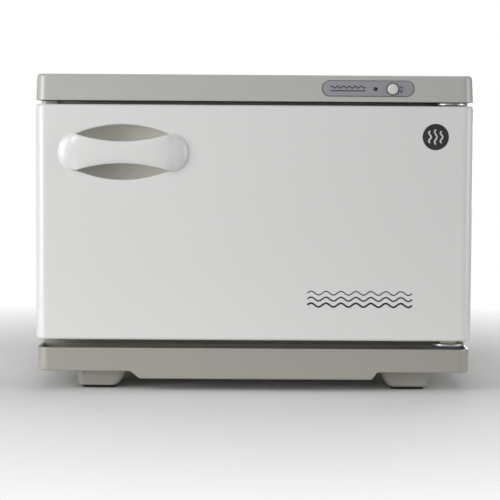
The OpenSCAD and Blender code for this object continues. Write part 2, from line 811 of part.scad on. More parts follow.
module power_button() {
    color([0.86, 0.86, 0.83]) translate([button_x, 0, panel_z]) {
        rod_y(button_r, front_y - button_out, front_y + button_in);
        rod_y(stem_r, front_y + button_in - eps, front_y + stem_in);
    }
}

// ---------- door ----------

// The door's outline in plan, drawn in from its outside by inset
module door_plan(inset) {
    plan(cap_x - inset, front_y + inset, door_back_y - inset,
         door_corner_front - inset, door_corner_back - inset);
}

// The eye-shaped opening, grown by grow all round, in front view about the handle's middle
module eye(grow) {
    intersection() {
        translate([0, handle_h / 2 - eye_r]) circle(eye_r + grow);
        translate([0, eye_r - handle_h / 2]) circle(eye_r + grow);
        square([2 * (eye_half_w + grow), handle_h + 20], center = true);
    }
}

module door_panel() {
    color(white_plastic) difference() {
        union() {
            difference() {
                translate([0, 0, door_z]) linear_extrude(door_h) door_plan(0);
                translate([0, 0, door_z + wall]) linear_extrude(door_h - 2 * wall) {
                    door_plan(wall);
                    translate([-liner_x - 0.2, door_back_y - 15]) square([2 * liner_x + 0.4, 16]);
                }
            }
            for (p = liner_screws_at)
                translate([p[0], 0, p[1]]) rod_y(4, front_y + 1, door_back_y - liner_t - 0.1);
            translate([hinge_x, hinge_y, door_z + 1]) cylinder(r = boss_r, h = bush_l - 0.5);
            translate([hinge_x, hinge_y, door_top_z - bush_l - 0.5]) cylinder(r = boss_r, h = bush_l - 0.5);
        }
        for (p = liner_screws_at)
            translate([p[0], 0, p[1]]) rod_y(pilot_r, door_back_y - 16, door_back_y + 1);
        translate([hinge_x, hinge_y, door_z - eps]) cylinder(r = bush_r, h = bush_l + 2);
        translate([hinge_x, hinge_y, door_top_z - bush_l - 2 + eps]) cylinder(r = bush_r, h = bush_l + 2);
        translate(handle_pos) {
            along_y(front_y - 1, front_y + wall + 1) eye(0);
            for (x = [-leg_x, leg_x]) translate([x, 0, 0])
                rod_y(leg_r + 0.1, front_y - 1, front_y + wall + 1);
        }
    }
}

// Inner panel of the door, with a hollow plug that reaches into the chamber's mouth
module door_liner() {
    mid = [0, 0, (door_z + door_top_z) / 2];
    plug_mid = [0, 0, plug_z + plug_h / 2];
    color(white_plastic) difference() {
        union() {
            translate(mid) along_y(door_back_y - liner_t, door_back_y)
                rounded_rect(2 * liner_x - 0.4, door_h - 2 * wall - 0.6, 4);
            translate(plug_mid) along_y(door_back_y - 1, door_back_y + plug_out)
                rounded_rect(2 * plug_x, plug_h, 8);
        }
        translate(plug_mid) along_y(door_back_y - liner_t - 1, door_back_y + plug_out - 2)
            rounded_rect(2 * plug_x - 4, plug_h - 4, 6);
        for (p = liner_screws_at)
            translate([p[0], 0, p[1]]) rod_y(clear_r + 0.1, door_back_y - liner_t - 1, door_back_y + 1);
    }
}

module door_foam() {
    color([0.92, 0.9, 0.8]) difference() {
        box_between([-liner_x + 3, front_y + wall + 2, door_z + 14],
                    [liner_x - 3, door_back_y - liner_t - 0.5, door_top_z - 14]);
        translate(handle_pos) box_between([-60, front_y, -28], [60, door_back_y, 28]);
    }
}

// Hollow silicone strip round the back of the door
module door_gasket() {
    w = 2 * gasket_in_x;
    h = chamber_h + 4;
    color(silicone) translate([0, 0, chamber_z + chamber_h / 2])
        along_y(door_back_y, door_back_y + gasket_t)
            ring_xz(w + 2 * gasket_w, h + 2 * gasket_w, 12, w, h, 6);
}

module handle_cup() {
    y0 = front_y + wall;
    color([0.8, 0.8, 0.78]) translate(handle_pos) difference() {
        union() {
            along_y(y0, front_y + cup_depth + cup_wall) eye(cup_wall);
            along_y(y0, y0 + cup_flange_t) rounded_rect(2 * leg_x + 16, handle_h + 4, 8);
        }
        along_y(y0 - eps, front_y + cup_depth) eye(0);
        for (x = [-leg_x, leg_x]) translate([x, 0, 0]) rod_y(leg_r + 0.1, y0 - 1, y0 + cup_flange_t + 1);
    }
}

// How far the grip's face stands in front of the door at x, and its outline's half height there
function grip_face(x) = handle_out * sqrt(max(0, 1 - pow(abs(x) / (handle_w / 2), 3)));
function grip_edge(x) = handle_h / 2 * pow(max(0, 1 - pow(abs(x) / (handle_w / 2), 2.4)), 1 / 2.4);

module handle_grip() {
    steps = 22;
    // Even steps in angle bring the points closer together at the two round ends
    xs = [for (i = [0 : steps]) -handle_w / 2 * cos(180 * i / steps)];
    inner_xs = [for (i = [0 : 12]) (i / 6 - 1) * eye_half_w];
    y0 = front_y + wall + cup_flange_t;
    color(white_plastic) translate(handle_pos) difference() {
        union() {
            intersection() {
                translate([0, 0, -handle_h]) linear_extrude(2 * handle_h)
                    polygon([for (x = xs) [x, front_y - grip_face(x)]]);
                along_y(front_y - 2 * handle_out, front_y + 1) difference() {
                    polygon(concat([for (x = xs) [x, grip_edge(x)]],
                                   [for (i = [steps - 1 : -1 : 1]) [xs[i], -grip_edge(xs[i])]]));
                    for (side = [-1, 1]) translate([0, side * (waist + waist_r)]) circle(waist_r);
                }
            }
            for (x = [-leg_x, leg_x]) translate([x, 0, 0]) rod_y(leg_r, front_y - 1, y0);
        }
        // The finger side of the bridge
        translate([0, 0, -handle_h]) linear_extrude(2 * handle_h)
            polygon(concat([for (x = inner_xs) [x, front_y - grip_face(x) + grip_t]],
                           [[eye_half_w, front_y + 2], [-eye_half_w, front_y + 2]]));
        for (x = [-leg_x, leg_x]) translate([x, 0, 0]) rod_y(pilot_r, front_y - 0.6, y0 + 1);
    }
}

module handle_screws() {
    color(bare_steel) for (x = [-leg_x, leg_x]) translate(handle_pos + [x, 0, 0])
        screw_from_back(front_y + wall + cup_flange_t, 5, head_t, screw_r, 4.8);
}

// Flanged bushes pressed into the door, on the pins
module hinge_bushes() {
    low_z = lower_plate_z + plate_t + 0.2;
    high_z = upper_plate_z - 0.2;
    color([0.9, 0.88, 0.8]) translate([hinge_x, hinge_y, 0]) {
        difference() {
            union() {
                translate([0, 0, low_z]) cylinder(r = bush_flange_r, h = door_z - low_z);
                translate([0, 0, low_z + 1]) cylinder(r = bush_r, h = door_z + bush_l - low_z - 1);
            }
            translate([0, 0, low_z - 1]) cylinder(r = bush_bore_r, h = 30);
        }
        difference() {
            union() {
                translate([0, 0, door_top_z]) cylinder(r = bush_flange_r, h = high_z - door_top_z);
                translate([0, 0, door_top_z - bush_l]) cylinder(r = bush_r, h = bush_l + eps);
            }
            translate([0, 0, door_top_z - 20]) cylinder(r = bush_bore_r, h = 30);
        }
    }
}

module strike_plate() {
    color(bare_steel) box_between([catch_x - catch_w / 2, door_back_y, catch_z - catch_h / 2 - 2],
        [catch_x + catch_w / 2, door_back_y + 1.5, catch_z + catch_h / 2 + 2]);
}

module liner_screws() {
    color(bare_steel) for (p = liner_screws_at) translate([p[0], 0, p[1]])
        screw_from_back(door_back_y, head_r - 0.2, head_t - 0.2, screw_r, 1.5 * screw_l);
}

// ---------- drip tray ----------

// Full-width trough under the door, with a lower lip in front to pull it out by
module drip_tray() {
    color(grey_plastic) difference() {
        union() {
            translate([0, 0, base_z]) linear_extrude(tray_top_z - base_z)
                plan(base_x, front_y, tray_back_y, base_corner, 2);
            along_y(front_y, front_y + wall) polygon([
                [-lip_top_x - 3, base_z + 1], [-lip_top_x, base_z], [1 - lip_bottom_x, base_z - lip_drop],
                [lip_bottom_x - 1, base_z - lip_drop], [lip_top_x, base_z], [lip_top_x + 3, base_z + 1]]);
        }
        translate([0, 0, tray_floor_z + 2]) linear_extrude(base_h)
            plan(base_x - wall, front_y + wall, tray_back_y - wall, base_corner - wall, 1);
        translate([0, 0, base_z - eps]) linear_extrude(tray_floor_z - base_z + eps)
            plan(base_x - wall, front_y + wall, tray_back_y + 1, base_corner - wall, 0);
    }
}

// ---------- wire rack ----------

// A straight rod from a to b
module rod(a, b, r) {
    d = b - a;
    translate(a) rotate([0, acos(d[2] / norm(d)), atan2(d[1], d[0])]) cylinder(r = r, h = norm(d));
}

// A quarter bend of bend radius rack_bend, from +X round to +Y about the origin
module bend() {
    rotate_extrude(angle = 90) translate([rack_bend, 0]) circle(rack_rod_r);
}

// Rectangle of thick rod with cross wires laid over it
module rack_grid() {
    x = rack_x - rack_rod_r;
    y0 = rack_front_y + rack_rod_r;
    y1 = rack_back_y - rack_rod_r;
    wire_z = rack_z + rack_rod_r + rack_wire_r - 0.5;
    brace_y = 34;
    brace_z = rack_z - 0.6;
    mid = [0, (y0 + y1) / 2, rack_z];
    half = [x, (y1 - y0) / 2];
    color(bare_steel) {
        for (side = [-1, 1]) {
            rod([side * x, y0 + rack_bend, rack_z], [side * x, y1 - rack_bend, rack_z], rack_rod_r);
            rod([rack_bend - x, mid[1] + side * half[1], rack_z],
                [x - rack_bend, mid[1] + side * half[1], rack_z], rack_rod_r);
            rod([-x, mid[1] + side * brace_y, brace_z], [x, mid[1] + side * brace_y, brace_z],
                rack_wire_r + 0.3);
        }
        for (sx = [-1, 1], sy = [-1, 1])
            translate(mid + [sx * (half[0] - rack_bend), sy * (half[1] - rack_bend), 0])
                rotate(sx > 0 ? (sy > 0 ? 0 : 270) : (sy > 0 ? 90 : 180)) bend();
        wire_pitch = 2 * (x - 8) / (rack_wires - 1);
        for (i = [0 : rack_wires - 1]) let (wx = (i - (rack_wires - 1) / 2) * wire_pitch)
            rod([wx, y0 - 1, wire_z], [wx, y1 + 1, wire_z], rack_wire_r);
    }
}

// Four short U-shaped wires welded under the side rods
module rack_feet() {
    half_l = 16;
    low_z = chamber_z + 0.2 + rack_rod_r;
    high_z = rack_z - rack_rod_r + 0.4;
    bend_z = low_z + rack_bend;
    mid_y = (rack_front_y + rack_back_y) / 2;
    color(bare_steel) for (sx = [-1, 1], sy = [-1, 1])
        translate([sx * (rack_x - rack_rod_r), mid_y + sy * 48, 0]) {
            rod([0, rack_bend - half_l, low_z], [0, half_l - rack_bend, low_z], rack_rod_r);
            for (end = [-1, 1]) {
                rod([0, end * half_l, bend_z], [0, end * half_l, high_z], rack_rod_r);
                translate([0, end * (half_l - rack_bend), bend_z])
                    rotate([0, 90, 0]) rotate(end > 0 ? 0 : 270) bend();
            }
        }
}

// ---------- assembly ----------

outer_shell();
back_panel();
base_housing();
tray_shelf();
top_cap();
cap_plate();
front_frame();
chamber();
insulation();
heater_mat();
thermostat();
thermal_fuse();
terminal_block();
wiring();
wire_grommet();
cord_gland();
feet();
foot_pads();
foot_screws();
cap_screws();
back_screws();
chamber_screws();
hinge_plate_lower();
hinge_plate_upper();
hinge_pins();
hinge_screws();
catch_magnet();
control_label();
indicator_lamp();
switch_body();
control_board();
board_screws();
power_button();
door_panel();
door_liner();
door_foam();
door_gasket();
handle_cup();
handle_grip();
handle_screws();
hinge_bushes();
strike_plate();
liner_screws();
drip_tray();
rack_grid();
rack_feet();
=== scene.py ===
"""Looks of the hot towel cabinet: camera, light, moulded outer pieces and materials round the CAD frame."""

import json
import math

import bmesh
import bpy
from mathutils import Matrix, Vector


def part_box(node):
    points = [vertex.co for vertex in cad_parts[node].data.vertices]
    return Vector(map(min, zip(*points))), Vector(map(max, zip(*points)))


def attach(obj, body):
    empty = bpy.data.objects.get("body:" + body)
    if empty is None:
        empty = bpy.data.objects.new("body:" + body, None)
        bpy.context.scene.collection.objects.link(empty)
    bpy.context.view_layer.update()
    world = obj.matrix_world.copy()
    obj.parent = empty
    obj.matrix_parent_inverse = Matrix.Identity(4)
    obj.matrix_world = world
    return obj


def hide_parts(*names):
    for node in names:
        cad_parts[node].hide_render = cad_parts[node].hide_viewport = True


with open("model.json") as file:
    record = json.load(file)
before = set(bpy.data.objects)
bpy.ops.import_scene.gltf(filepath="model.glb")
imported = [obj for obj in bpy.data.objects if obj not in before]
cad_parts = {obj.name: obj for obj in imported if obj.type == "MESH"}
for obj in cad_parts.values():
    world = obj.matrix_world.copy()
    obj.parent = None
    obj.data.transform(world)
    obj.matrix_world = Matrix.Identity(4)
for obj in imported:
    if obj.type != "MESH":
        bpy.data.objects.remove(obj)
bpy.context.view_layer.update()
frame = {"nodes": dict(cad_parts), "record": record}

MM = 0.001            # every length below is in millimetres unless it says otherwise
ARC = 10              # steps in a quarter round of a corner
FILLET = 6            # steps in a quarter round of an edge
POINT_R = 0.02        # radius that stands in for a sharp corner or a point
PAST = 1              # how far a cutter runs past the face that it opens


def box(node):
    """Lowest and highest corner of a CAD node, in millimetres."""
    low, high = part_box(node)
    return low / MM, high / MM


# ---------- camera ----------

CAMERA_AT = (-6.4, -1531.0, 209.1)
CAMERA_PITCH = 0.0679  # radians, downwards
CAMERA_YAW = -0.0023   # radians, to the left
CAMERA_ROLL = 0.0062   # radians
CAMERA_LENS = 126.27
CAMERA_SENSOR = 36


def make_camera():
    data = bpy.data.cameras.new("camera")
    data.lens = CAMERA_LENS
    data.sensor_width = CAMERA_SENSOR
    data.clip_end = 100
    camera = bpy.data.objects.new("camera", data)
    bpy.context.scene.collection.objects.link(camera)
    turn = (Matrix.Rotation(CAMERA_YAW, 4, "Z")
            @ Matrix.Rotation(math.pi / 2 - CAMERA_PITCH, 4, "X")
            @ Matrix.Rotation(CAMERA_ROLL, 4, "Z"))
    camera.matrix_world = Matrix.Translation(Vector(CAMERA_AT) * MM) @ turn
    bpy.context.scene.camera = camera


# ---------- node helpers for materials ----------

class Surface:
    """One procedural material: a Principled shader with helpers that add patterns in object space."""

    def __init__(self, name, colour, roughness, metallic=0.0, coat=0.0, specular=0.5):
        self.material = bpy.data.materials.new(name)
        self.material.use_nodes = True
        self.tree = self.material.node_tree
        self.shader = self.tree.nodes["Principled BSDF"]
        self.shader.inputs["Base Color"].default_value = (*colour, 1)
        self.shader.inputs["Roughness"].default_value = roughness
        self.shader.inputs["Metallic"].default_value = metallic
        self.shader.inputs["Coat Weight"].default_value = coat
        self.shader.inputs["Coat Roughness"].default_value = 0.15
        self.shader.inputs["Specular IOR Level"].default_value = specular
        self.colour = colour
        self.roughness = roughness
        self.place = self.tree.nodes.new("ShaderNodeTexCoord").outputs["Object"]
        self.material.diffuse_color = (*colour, 1)

    def link(self, output, socket):
        self.tree.links.new(output, socket)

    def stretched(self, scale):
        """Object coordinates scaled by a different number along each axis."""
        node = self.tree.nodes.new("ShaderNodeMapping")
        node.inputs["Scale"].default_value = scale
        self.link(self.place, node.inputs["Vector"])
        return node.outputs["Vector"]

    def noise(self, scale, detail=2.0, vector=None, rough=0.5, distortion=0.0):
        node = self.tree.nodes.new("ShaderNodeTexNoise")
        node.inputs["Scale"].default_value = scale
        node.inputs["Detail"].default_value = detail
        node.inputs["Roughness"].default_value = rough
        node.inputs["Distortion"].default_value = distortion
        self.link(vector or self.place, node.inputs["Vector"])
        return node.outputs["Fac"]

    def cells(self, scale):
        node = self.tree.nodes.new("ShaderNodeTexVoronoi")
        node.inputs["Scale"].default_value = scale
        self.link(self.place, node.inputs["Vector"])
        return node.outputs["Distance"]

    def bands(self, scale, direction, distortion=0.0):
        node = self.tree.nodes.new("ShaderNodeTexWave")
        node.bands_direction = direction
        node.inputs["Scale"].default_value = scale
        node.inputs["Distortion"].default_value = distortion
        self.link(self.place, node.inputs["Vector"])
        return node.outputs["Fac"]

    def ramp(self, value, low, high, to_low=0.0, to_high=1.0):
        """value from low to high becomes to_low to to_high, clamped."""
        node = self.tree.nodes.new("ShaderNodeMapRange")
        node.inputs["From Min"].default_value = low
        node.inputs["From Max"].default_value = high
        node.inputs["To Min"].default_value = to_low
        node.inputs["To Max"].default_value = to_high
        self.link(value, node.inputs["Value"])
        return node.outputs["Result"]

    def math(self, operation, a, b):
        node = self.tree.nodes.new("ShaderNodeMath")
        node.operation = operation
        for socket, value in zip(node.inputs, (a, b)):
            if isinstance(value, (int, float)):
                socket.default_value = value
            else:
                self.link(value, socket)
        return node.outputs["Value"]

    def tint(self, factor, colour):
        """Mixes the base colour towards another colour where factor is high."""
        node = self.tree.nodes.new("ShaderNodeMix")
        node.data_type = "RGBA"
        base = self.shader.inputs["Base Color"]
        if base.links:
            self.link(base.links[0].from_socket, node.inputs["A"])
        else:
            node.inputs["A"].default_value = (*self.colour, 1)
        node.inputs["B"].default_value = (*colour, 1)
        self.link(factor, node.inputs["Factor"])
        self.link(node.outputs["Result"], base)

    def vary_colour(self, scale, amount):
        """Slow, slight unevenness of colour."""
        self.tint(self.ramp(self.noise(scale, 3.0), 0.35, 0.65), shade(self.colour, 1 - amount))

    def vary_roughness(self, scale, amount, vector=None):
        spread = self.ramp(self.noise(scale, 4.0, vector), 0.3, 0.7,
                           self.roughness - amount, self.roughness + amount)
        self.link(spread, self.shader.inputs["Roughness"])

    def bump(self, height, depth):
        """Adds a relief; depth is in millimetres."""
        node = self.tree.nodes.new("ShaderNodeBump")
        node.inputs["Distance"].default_value = depth * MM
        node.inputs["Strength"].default_value = 1.0
        self.link(height, node.inputs["Height"])
        normal = self.shader.inputs["Normal"]
        if normal.links:
            self.link(normal.links[0].from_socket, node.inputs["Normal"])
        self.link(node.outputs["Normal"], normal)


# ---------- materials, one function for each kind ----------

def shade(colour, factor):
    """The colour made darker or lighter by a factor."""
    return tuple(min(1, c * factor) for c in colour)


def moulded(name, colour, roughness, grain=0.012, coat=0.0, mottle=0.02, sheen_drift=0.03):
    """Injection-moulded plastic: spark-eroded grain, faint flow marks and slightly uneven gloss."""
    s = Surface(name, colour, roughness, coat=coat)
    s.vary_colour(7, mottle)
    s.vary_roughness(18, sheen_drift)
    s.bump(s.noise(2600, 3.0), grain)
    return s.material


def powder_coat(name, colour):
    """Sprayed coat on sheet steel: orange peel with a few specks."""
    s = Surface(name, colour, 0.38, coat=0.15)
    s.vary_colour(6, 0.015)
    s.vary_roughness(40, 0.05)
    s.bump(s.noise(700, 2.0), 0.03)
    s.bump(s.noise(160, 1.0), 0.05)
    s.tint(s.ramp(s.cells(420), 0.05, 0.02, 0.0, 0.25), shade(colour, 0.6))
    return s.material


def rolled_metal(name, colour, roughness, along, grain=0.01):
    """Sheet with fine rolling lines along one axis and faint cloudy marks."""
    s = Surface(name, colour, roughness, metallic=1.0)
    scale = [1.0, 1.0, 1.0]
    scale["XYZ".index(along)] = 0.02
    lines = s.stretched(scale)
    s.vary_colour(14, 0.03)
    s.vary_roughness(900, 0.06, lines)
    s.bump(s.noise(1500, 4.0, lines), grain)
    return s.material


def zinc_plated(name, colour, roughness):
    """Plated steel with a slight crystalline bloom."""
    s = Surface(name, colour, roughness, metallic=1.0)
    s.tint(s.ramp(s.cells(240), 0.2, 0.7, 0.0, 0.2), shade(colour, 0.85))
    s.vary_roughness(120, 0.05)
    s.bump(s.noise(1800, 3.0), 0.006)
    return s.material


def chrome(name, colour):
    s = Surface(name, colour, 0.09, metallic=1.0)
    s.vary_roughness(160, 0.04)
    s.bump(s.noise(500, 2.0), 0.004)
    s.tint(s.ramp(s.noise(70, 3.0), 0.62, 0.75, 0.0, 0.3), (0.6, 0.58, 0.55))
    return s.material


def soft_rubber(name, colour, roughness=0.62):
    s = Surface(name, colour, roughness, specular=0.35)
    s.vary_colour(60, 0.12)
    s.vary_roughness(300, 0.06)
    s.bump(s.noise(1400, 4.0), 0.03)
    return s.material


def woven_silicone(name, colour):
    """Glass cloth pressed into silicone, which carries the heating wire."""
    s = Surface(name, colour, 0.55)
    weave = s.math("MULTIPLY", s.bands(300, "X"), s.bands(300, "Y"))
    s.tint(s.ramp(weave, 0.0, 1.0, 0.0, 0.4), shade(colour, 0.6))
    s.bump(weave, 0.12)
    s.vary_roughness(90, 0.06)
    return s.material


def fibre_wool(name, colour):
    s = Surface(name, colour, 0.95, specular=0.15)
    strands = s.noise(90, 6.0, s.stretched((1.0, 1.0, 6.0)), 0.7, 1.5)
    s.tint(s.ramp(strands, 0.35, 0.65), shade(colour, 0.62))
    s.bump(strands, 1.2)
    s.bump(s.noise(900, 4.0), 0.2)
    return s.material


def cellular_foam(name, colour):
    s = Surface(name, colour, 0.9, specular=0.2)
    cell = s.cells(700)
    s.tint(s.ramp(cell, 0.1, 0.6, 0.35, 0.0), shade(colour, 0.75))
    s.bump(cell, 0.25)
    return s.material


def printed_film(name, colour):
    """Satin printed film with a fine metallic fleck."""
    s = Surface(name, colour, 0.42, coat=0.2)
    s.tint(s.ramp(s.cells(1500), 0.25, 0.05, 0.0, 0.35), shade(colour, 1.35))
    s.vary_roughness(200, 0.05)
    s.bump(s.noise(1200, 2.0), 0.006)
    return s.material


def ink(name, colour):
    s = Surface(name, colour, 0.5)
    s.vary_colour(120, 0.25)
    s.vary_roughness(150, 0.08)
    s.bump(s.noise(1800, 2.0), 0.005)
    return s.material


def tinted_lens(name, colour):
    s = Surface(name, colour, 0.12, coat=0.6)
    s.tint(s.ramp(s.cells(900), 0.0, 0.6, 0.3, 0.0), (0.05, 0.006, 0.008))
    s.vary_roughness(200, 0.04)
    return s.material


def circuit_board(name, colour):
    """Solder mask over copper tracks, with bare pads."""
    s = Surface(name, colour, 0.4, coat=0.3)
    across = s.ramp(s.bands(95, "X", 2.0), 0.7, 0.8)
    upward = s.ramp(s.bands(60, "Z", 1.0), 0.2, 0.3)
    tracks = s.math("MULTIPLY", across, upward)
    s.tint(tracks, shade(colour, 1.7))
    s.tint(s.ramp(s.cells(320), 0.12, 0.09), (0.72, 0.6, 0.35))
    s.bump(tracks, 0.05)
    s.vary_roughness(100, 0.05)
    return s.material


def fired_ceramic(name, colour):
    s = Surface(name, colour, 0.8, specular=0.3)
    s.vary_colour(300, 0.18)
    s.bump(s.noise(1600, 5.0), 0.04)
    return s.material


def make_finishes():
    """The finish of each material slot in the record."""
    return {
        "grey_abs": moulded("grey_abs", (0.50, 0.505, 0.475), 0.36, 0.01, 0.35, 0.015, 0.02),
        "white_abs": moulded("white_abs", (0.80, 0.80, 0.79), 0.3, 0.003, 0.15, 0.006, 0.012),
        "liner_abs": moulded("liner_abs", (0.68, 0.68, 0.66), 0.45, 0.02),
        "cup_abs": moulded("cup_abs", (0.75, 0.74, 0.69), 0.45, 0.01),
        "white_paint": powder_coat("white_paint", (0.73, 0.73, 0.715)),
        "aluminium": rolled_metal("aluminium", (0.78, 0.785, 0.79), 0.34, "X"),
        "zinc_steel": zinc_plated("zinc_steel", (0.5, 0.5, 0.5), 0.4),
        "screw_steel": zinc_plated("screw_steel", (0.6, 0.6, 0.61), 0.26),
        "chrome_wire": chrome("chrome_wire", (0.86, 0.865, 0.87)),
        "magnet": fired_ceramic("magnet", (0.055, 0.055, 0.06)),
        "black_rubber": soft_rubber("black_rubber", (0.018, 0.018, 0.019)),
        "white_silicone": soft_rubber("white_silicone", (0.56, 0.56, 0.535), 0.5),
        "heater_silicone": woven_silicone("heater_silicone", (0.42, 0.09, 0.035)),
        "label_film": printed_film("label_film", (0.32, 0.32, 0.355)),
        "base_abs": moulded("base_abs", (0.375, 0.362, 0.326), 0.34, 0.01, 0.5, 0.015, 0.02),
        "cream_abs": moulded("cream_abs", (0.74, 0.73, 0.68), 0.3, 0.004, coat=0.3),
        "lamp_lens": tinted_lens("lamp_lens", (0.006, 0.002, 0.002)),
        "glass_wool": fibre_wool("glass_wool", (0.78, 0.66, 0.34)),
        "foam": cellular_foam("foam", (0.8, 0.77, 0.66)),
        "white_nylon": moulded("white_nylon", (0.78, 0.76, 0.68), 0.5, 0.01),
        "black_phenolic": moulded("black_phenolic", (0.02, 0.02, 0.021), 0.45, 0.01),
        "ceramic": fired_ceramic("ceramic", (0.72, 0.66, 0.52)),
        "green_board": circuit_board("green_board", (0.02, 0.11, 0.045)),
        "wire_sheath": soft_rubber("wire_sheath", (0.32, 0.02, 0.015), 0.4),
    }


# ---------- mesh helpers; every length is in millimetres ----------

def mesh_object(name, points, faces):
    mesh = bpy.data.meshes.new(name)
    mesh.from_pydata([Vector(p) * MM for p in points], [], faces)
    tidy = bmesh.new()
    tidy.from_mesh(mesh)
    bmesh.ops.remove_doubles(tidy, verts=tidy.verts, dist=1e-7)
    bmesh.ops.recalc_face_normals(tidy, faces=tidy.faces)
    tidy.to_mesh(mesh)
    tidy.free()
    piece = bpy.data.objects.new(name, mesh)
    bpy.context.scene.collection.objects.link(piece)
    return piece


def loft(rings, looped=False):
    """Points and faces of a skin over rings of equally many points, closed at both ends or into a loop."""
    count = len(rings[0])
    points = [p for ring in rings for p in ring]
    faces = []
    for i in range(len(rings) if looped else len(rings) - 1):
        a = i * count
        b = (i + 1) % len(rings) * count
        for k in range(count):
            n = (k + 1) % count
            faces.append((a + k, a + n, b + n, b + k))
    if not looped:
        faces.append(tuple(range(count)))
        faces.append(tuple(range(len(points) - count, len(points))))
    return points, faces


def quarter(radius, steps=FILLET):
    """A quarter round from (radius, 0) to (0, radius), as pairs of inset and rise."""
    turns = [math.pi / 2 * k / steps for k in range(steps + 1)]
    return [(radius * (1 - math.sin(t)), radius * (1 - math.cos(t))) for t in turns]


def outline(x0, x1, y0, y1, radii, inset=0.0, front_xs=()):
    """A rounded rectangle, counter-clockwise from its lower left corner, moved in by inset.
    radii are those of the lower left, lower right, upper right and upper left corner;
    front_xs are places along the lower side that get a point of their own."""
    corners = ((x0, y0, 1, 1), (x1, y0, -1, 1), (x1, y1, -1, -1), (x0, y1, 1, -1))
    points = []
    for number, ((x, y, sx, sy), radius) in enumerate(zip(corners, radii)):
        r = max(radius - inset, POINT_R)
        cx = x + sx * (inset + r)
        cy = y + sy * (inset + r)
        start = math.pi + number * math.pi / 2
        for k in range(ARC + 1):
            turn = start + math.pi / 2 * k / ARC
            points.append((cx + r * math.cos(turn), cy + r * math.sin(turn)))
        if number == 0:
            points += [(x_front, y0 + inset) for x_front in front_xs]
    return points


def level(points, z):
    return [(x, y, z) for x, y in points]


def upright(points, y):
    return [(x, y, z) for x, z in points]


def edge_rounds(z0, z1, bottom, top):
    """Inset and height of a side wall with a round at its bottom and its top edge."""
    return ([(inset, z0 + rise) for inset, rise in quarter(bottom)]
            + [(inset, z1 - rise) for inset, rise in reversed(quarter(top))])


def block(name, plan, z0, z1, bottom, top):
    """A solid of the outline plan(inset), with rounded bottom and top edges."""
    rings = [level(plan(inset), z) for inset, z in edge_rounds(z0, z1, bottom, top)]
    return mesh_object(name, *loft(rings))


def turned_y(profile, x, z, steps=48):
    """A solid turned about a line along Y through x and z; profile holds pairs of radius and y."""
    turns = [2 * math.pi * k / steps for k in range(steps)]
    return loft([[(x + r * math.cos(t), y, z + r * math.sin(t)) for t in turns] for r, y in profile])


def turned_z(profile, x, y, steps=48):
    """The same about an upright line; profile holds pairs of radius and z."""
    turns = [2 * math.pi * k / steps for k in range(steps)]
    return loft([[(x + r * math.cos(t), y + r * math.sin(t), z) for t in turns] for r, z in profile])


def prism_y(points, y0, y1):
    """A cutter with a front-view outline."""
    return mesh_object("cutter", *loft([upright(points, y) for y in (y0, y1)]))


def prism_z(points, z0, z1):
    """A cutter with an outline seen from above."""
    return mesh_object("cutter", *loft([level(points, z) for z in (z0, z1)]))


def drill_y(r, y0, y1, x, z, steps=48):
    """A round cutter along Y."""
    return mesh_object("cutter", *turned_y([(r, y0), (r, y1)], x, z, steps))


def drill_z(r, z0, z1, x, y, steps=48):
    return mesh_object("cutter", *turned_z([(r, z0), (r, z1)], x, y, steps))


def joined(*parts):
    """Several sets of points and faces as one."""
    points = []
    faces = []
    for more_points, more_faces in parts:
        faces += [tuple(i + len(points) for i in face) for face in more_faces]
        points += more_points
    return points, faces


def applied(piece):
    """Puts the result of the piece's modifiers into its mesh."""
    graph = bpy.context.evaluated_depsgraph_get()
    mesh = bpy.data.meshes.new_from_object(piece.evaluated_get(graph))
    piece.modifiers.clear()
    piece.data = mesh


def cut(piece, *cutters, operation="DIFFERENCE"):
    for cutter in cutters:
        modifier = piece.modifiers.new("cut", "BOOLEAN")
        modifier.operation = operation
        modifier.solver = "EXACT"
        modifier.object = cutter
    applied(piece)
    for cutter in cutters:
        bpy.data.objects.remove(cutter)


def smooth(piece, angle=38):
    """Smooth shading, broken only at edges sharper than angle."""
    piece.data.shade_smooth()
    piece.data.set_sharp_from_angle(angle=math.radians(angle))
    modifier = piece.modifiers.new("normals", "WEIGHTED_NORMAL")
    modifier.keep_sharp = True


def mount(piece, body, slot, *nodes, finish=None, angle=38):
    """Gives a finished piece its finish, its body and the CAD nodes that it stands for."""
    smooth(piece, angle)
    piece.data.materials.clear()
    piece.data.materials.append(finish or finishes[slot])
    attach(piece, body)
    if nodes:
        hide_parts(*nodes)
    return piece


# ---------- top cap and its controls ----------

CAP_CORNER = 10
CAP_WALL = 2.5
CAP_DRAFT = 0.9       # how far the cap narrows from bottom to top
LABEL_DRAFT = 0.5     # share of that at the label's height
CAP_ROUND = 2.6
CAP_LIP = 0.7
CAP_RIM = 0.3         # chamfer inside the lower rim
CAP_SCREW_R = 3.4     # of the head
CAP_SCREW_HOLE_R = 1.7
CAP_HOLE_DEPTH = 6
RECESS_GAP = 0.3      # round the label
RECESS_EDGE = 0.3
LABEL_EDGE = 0.12
BUTTON_HOLE_R = 4.5
BUTTON_EDGE = 0.9
BUTTON_CROWN = 0.2    # how far its face bulges
BUTTON_DEPTH = 6.2    # from its face to its stem
STEM_R = 1.5
LAMP_HOLE_R = 1.6
LENS_R = 1.5
LENS_DOME = 0.5
LENS_NECK = 2.8       # from the front of the lens to the shoulder behind the cap
LED_R = 2.4
LED_DEPTH = 5.1
LEAD_R = 0.3


def stadium(x, z, width, height, grow=0.0):
    """A stadium in front view, counter-clockwise."""
    r = height / 2 + grow
    reach = (width - height) / 2
    points = []
    for side, start in ((1, -90), (-1, 90)):
        for k in range(2 * ARC + 1):
            turn = math.radians(start + 90 * k / ARC)
            points.append((x + side * reach + r * math.cos(turn), z + r * math.sin(turn)))
    return points


def middle(low, high):
    return (low + high) / 2


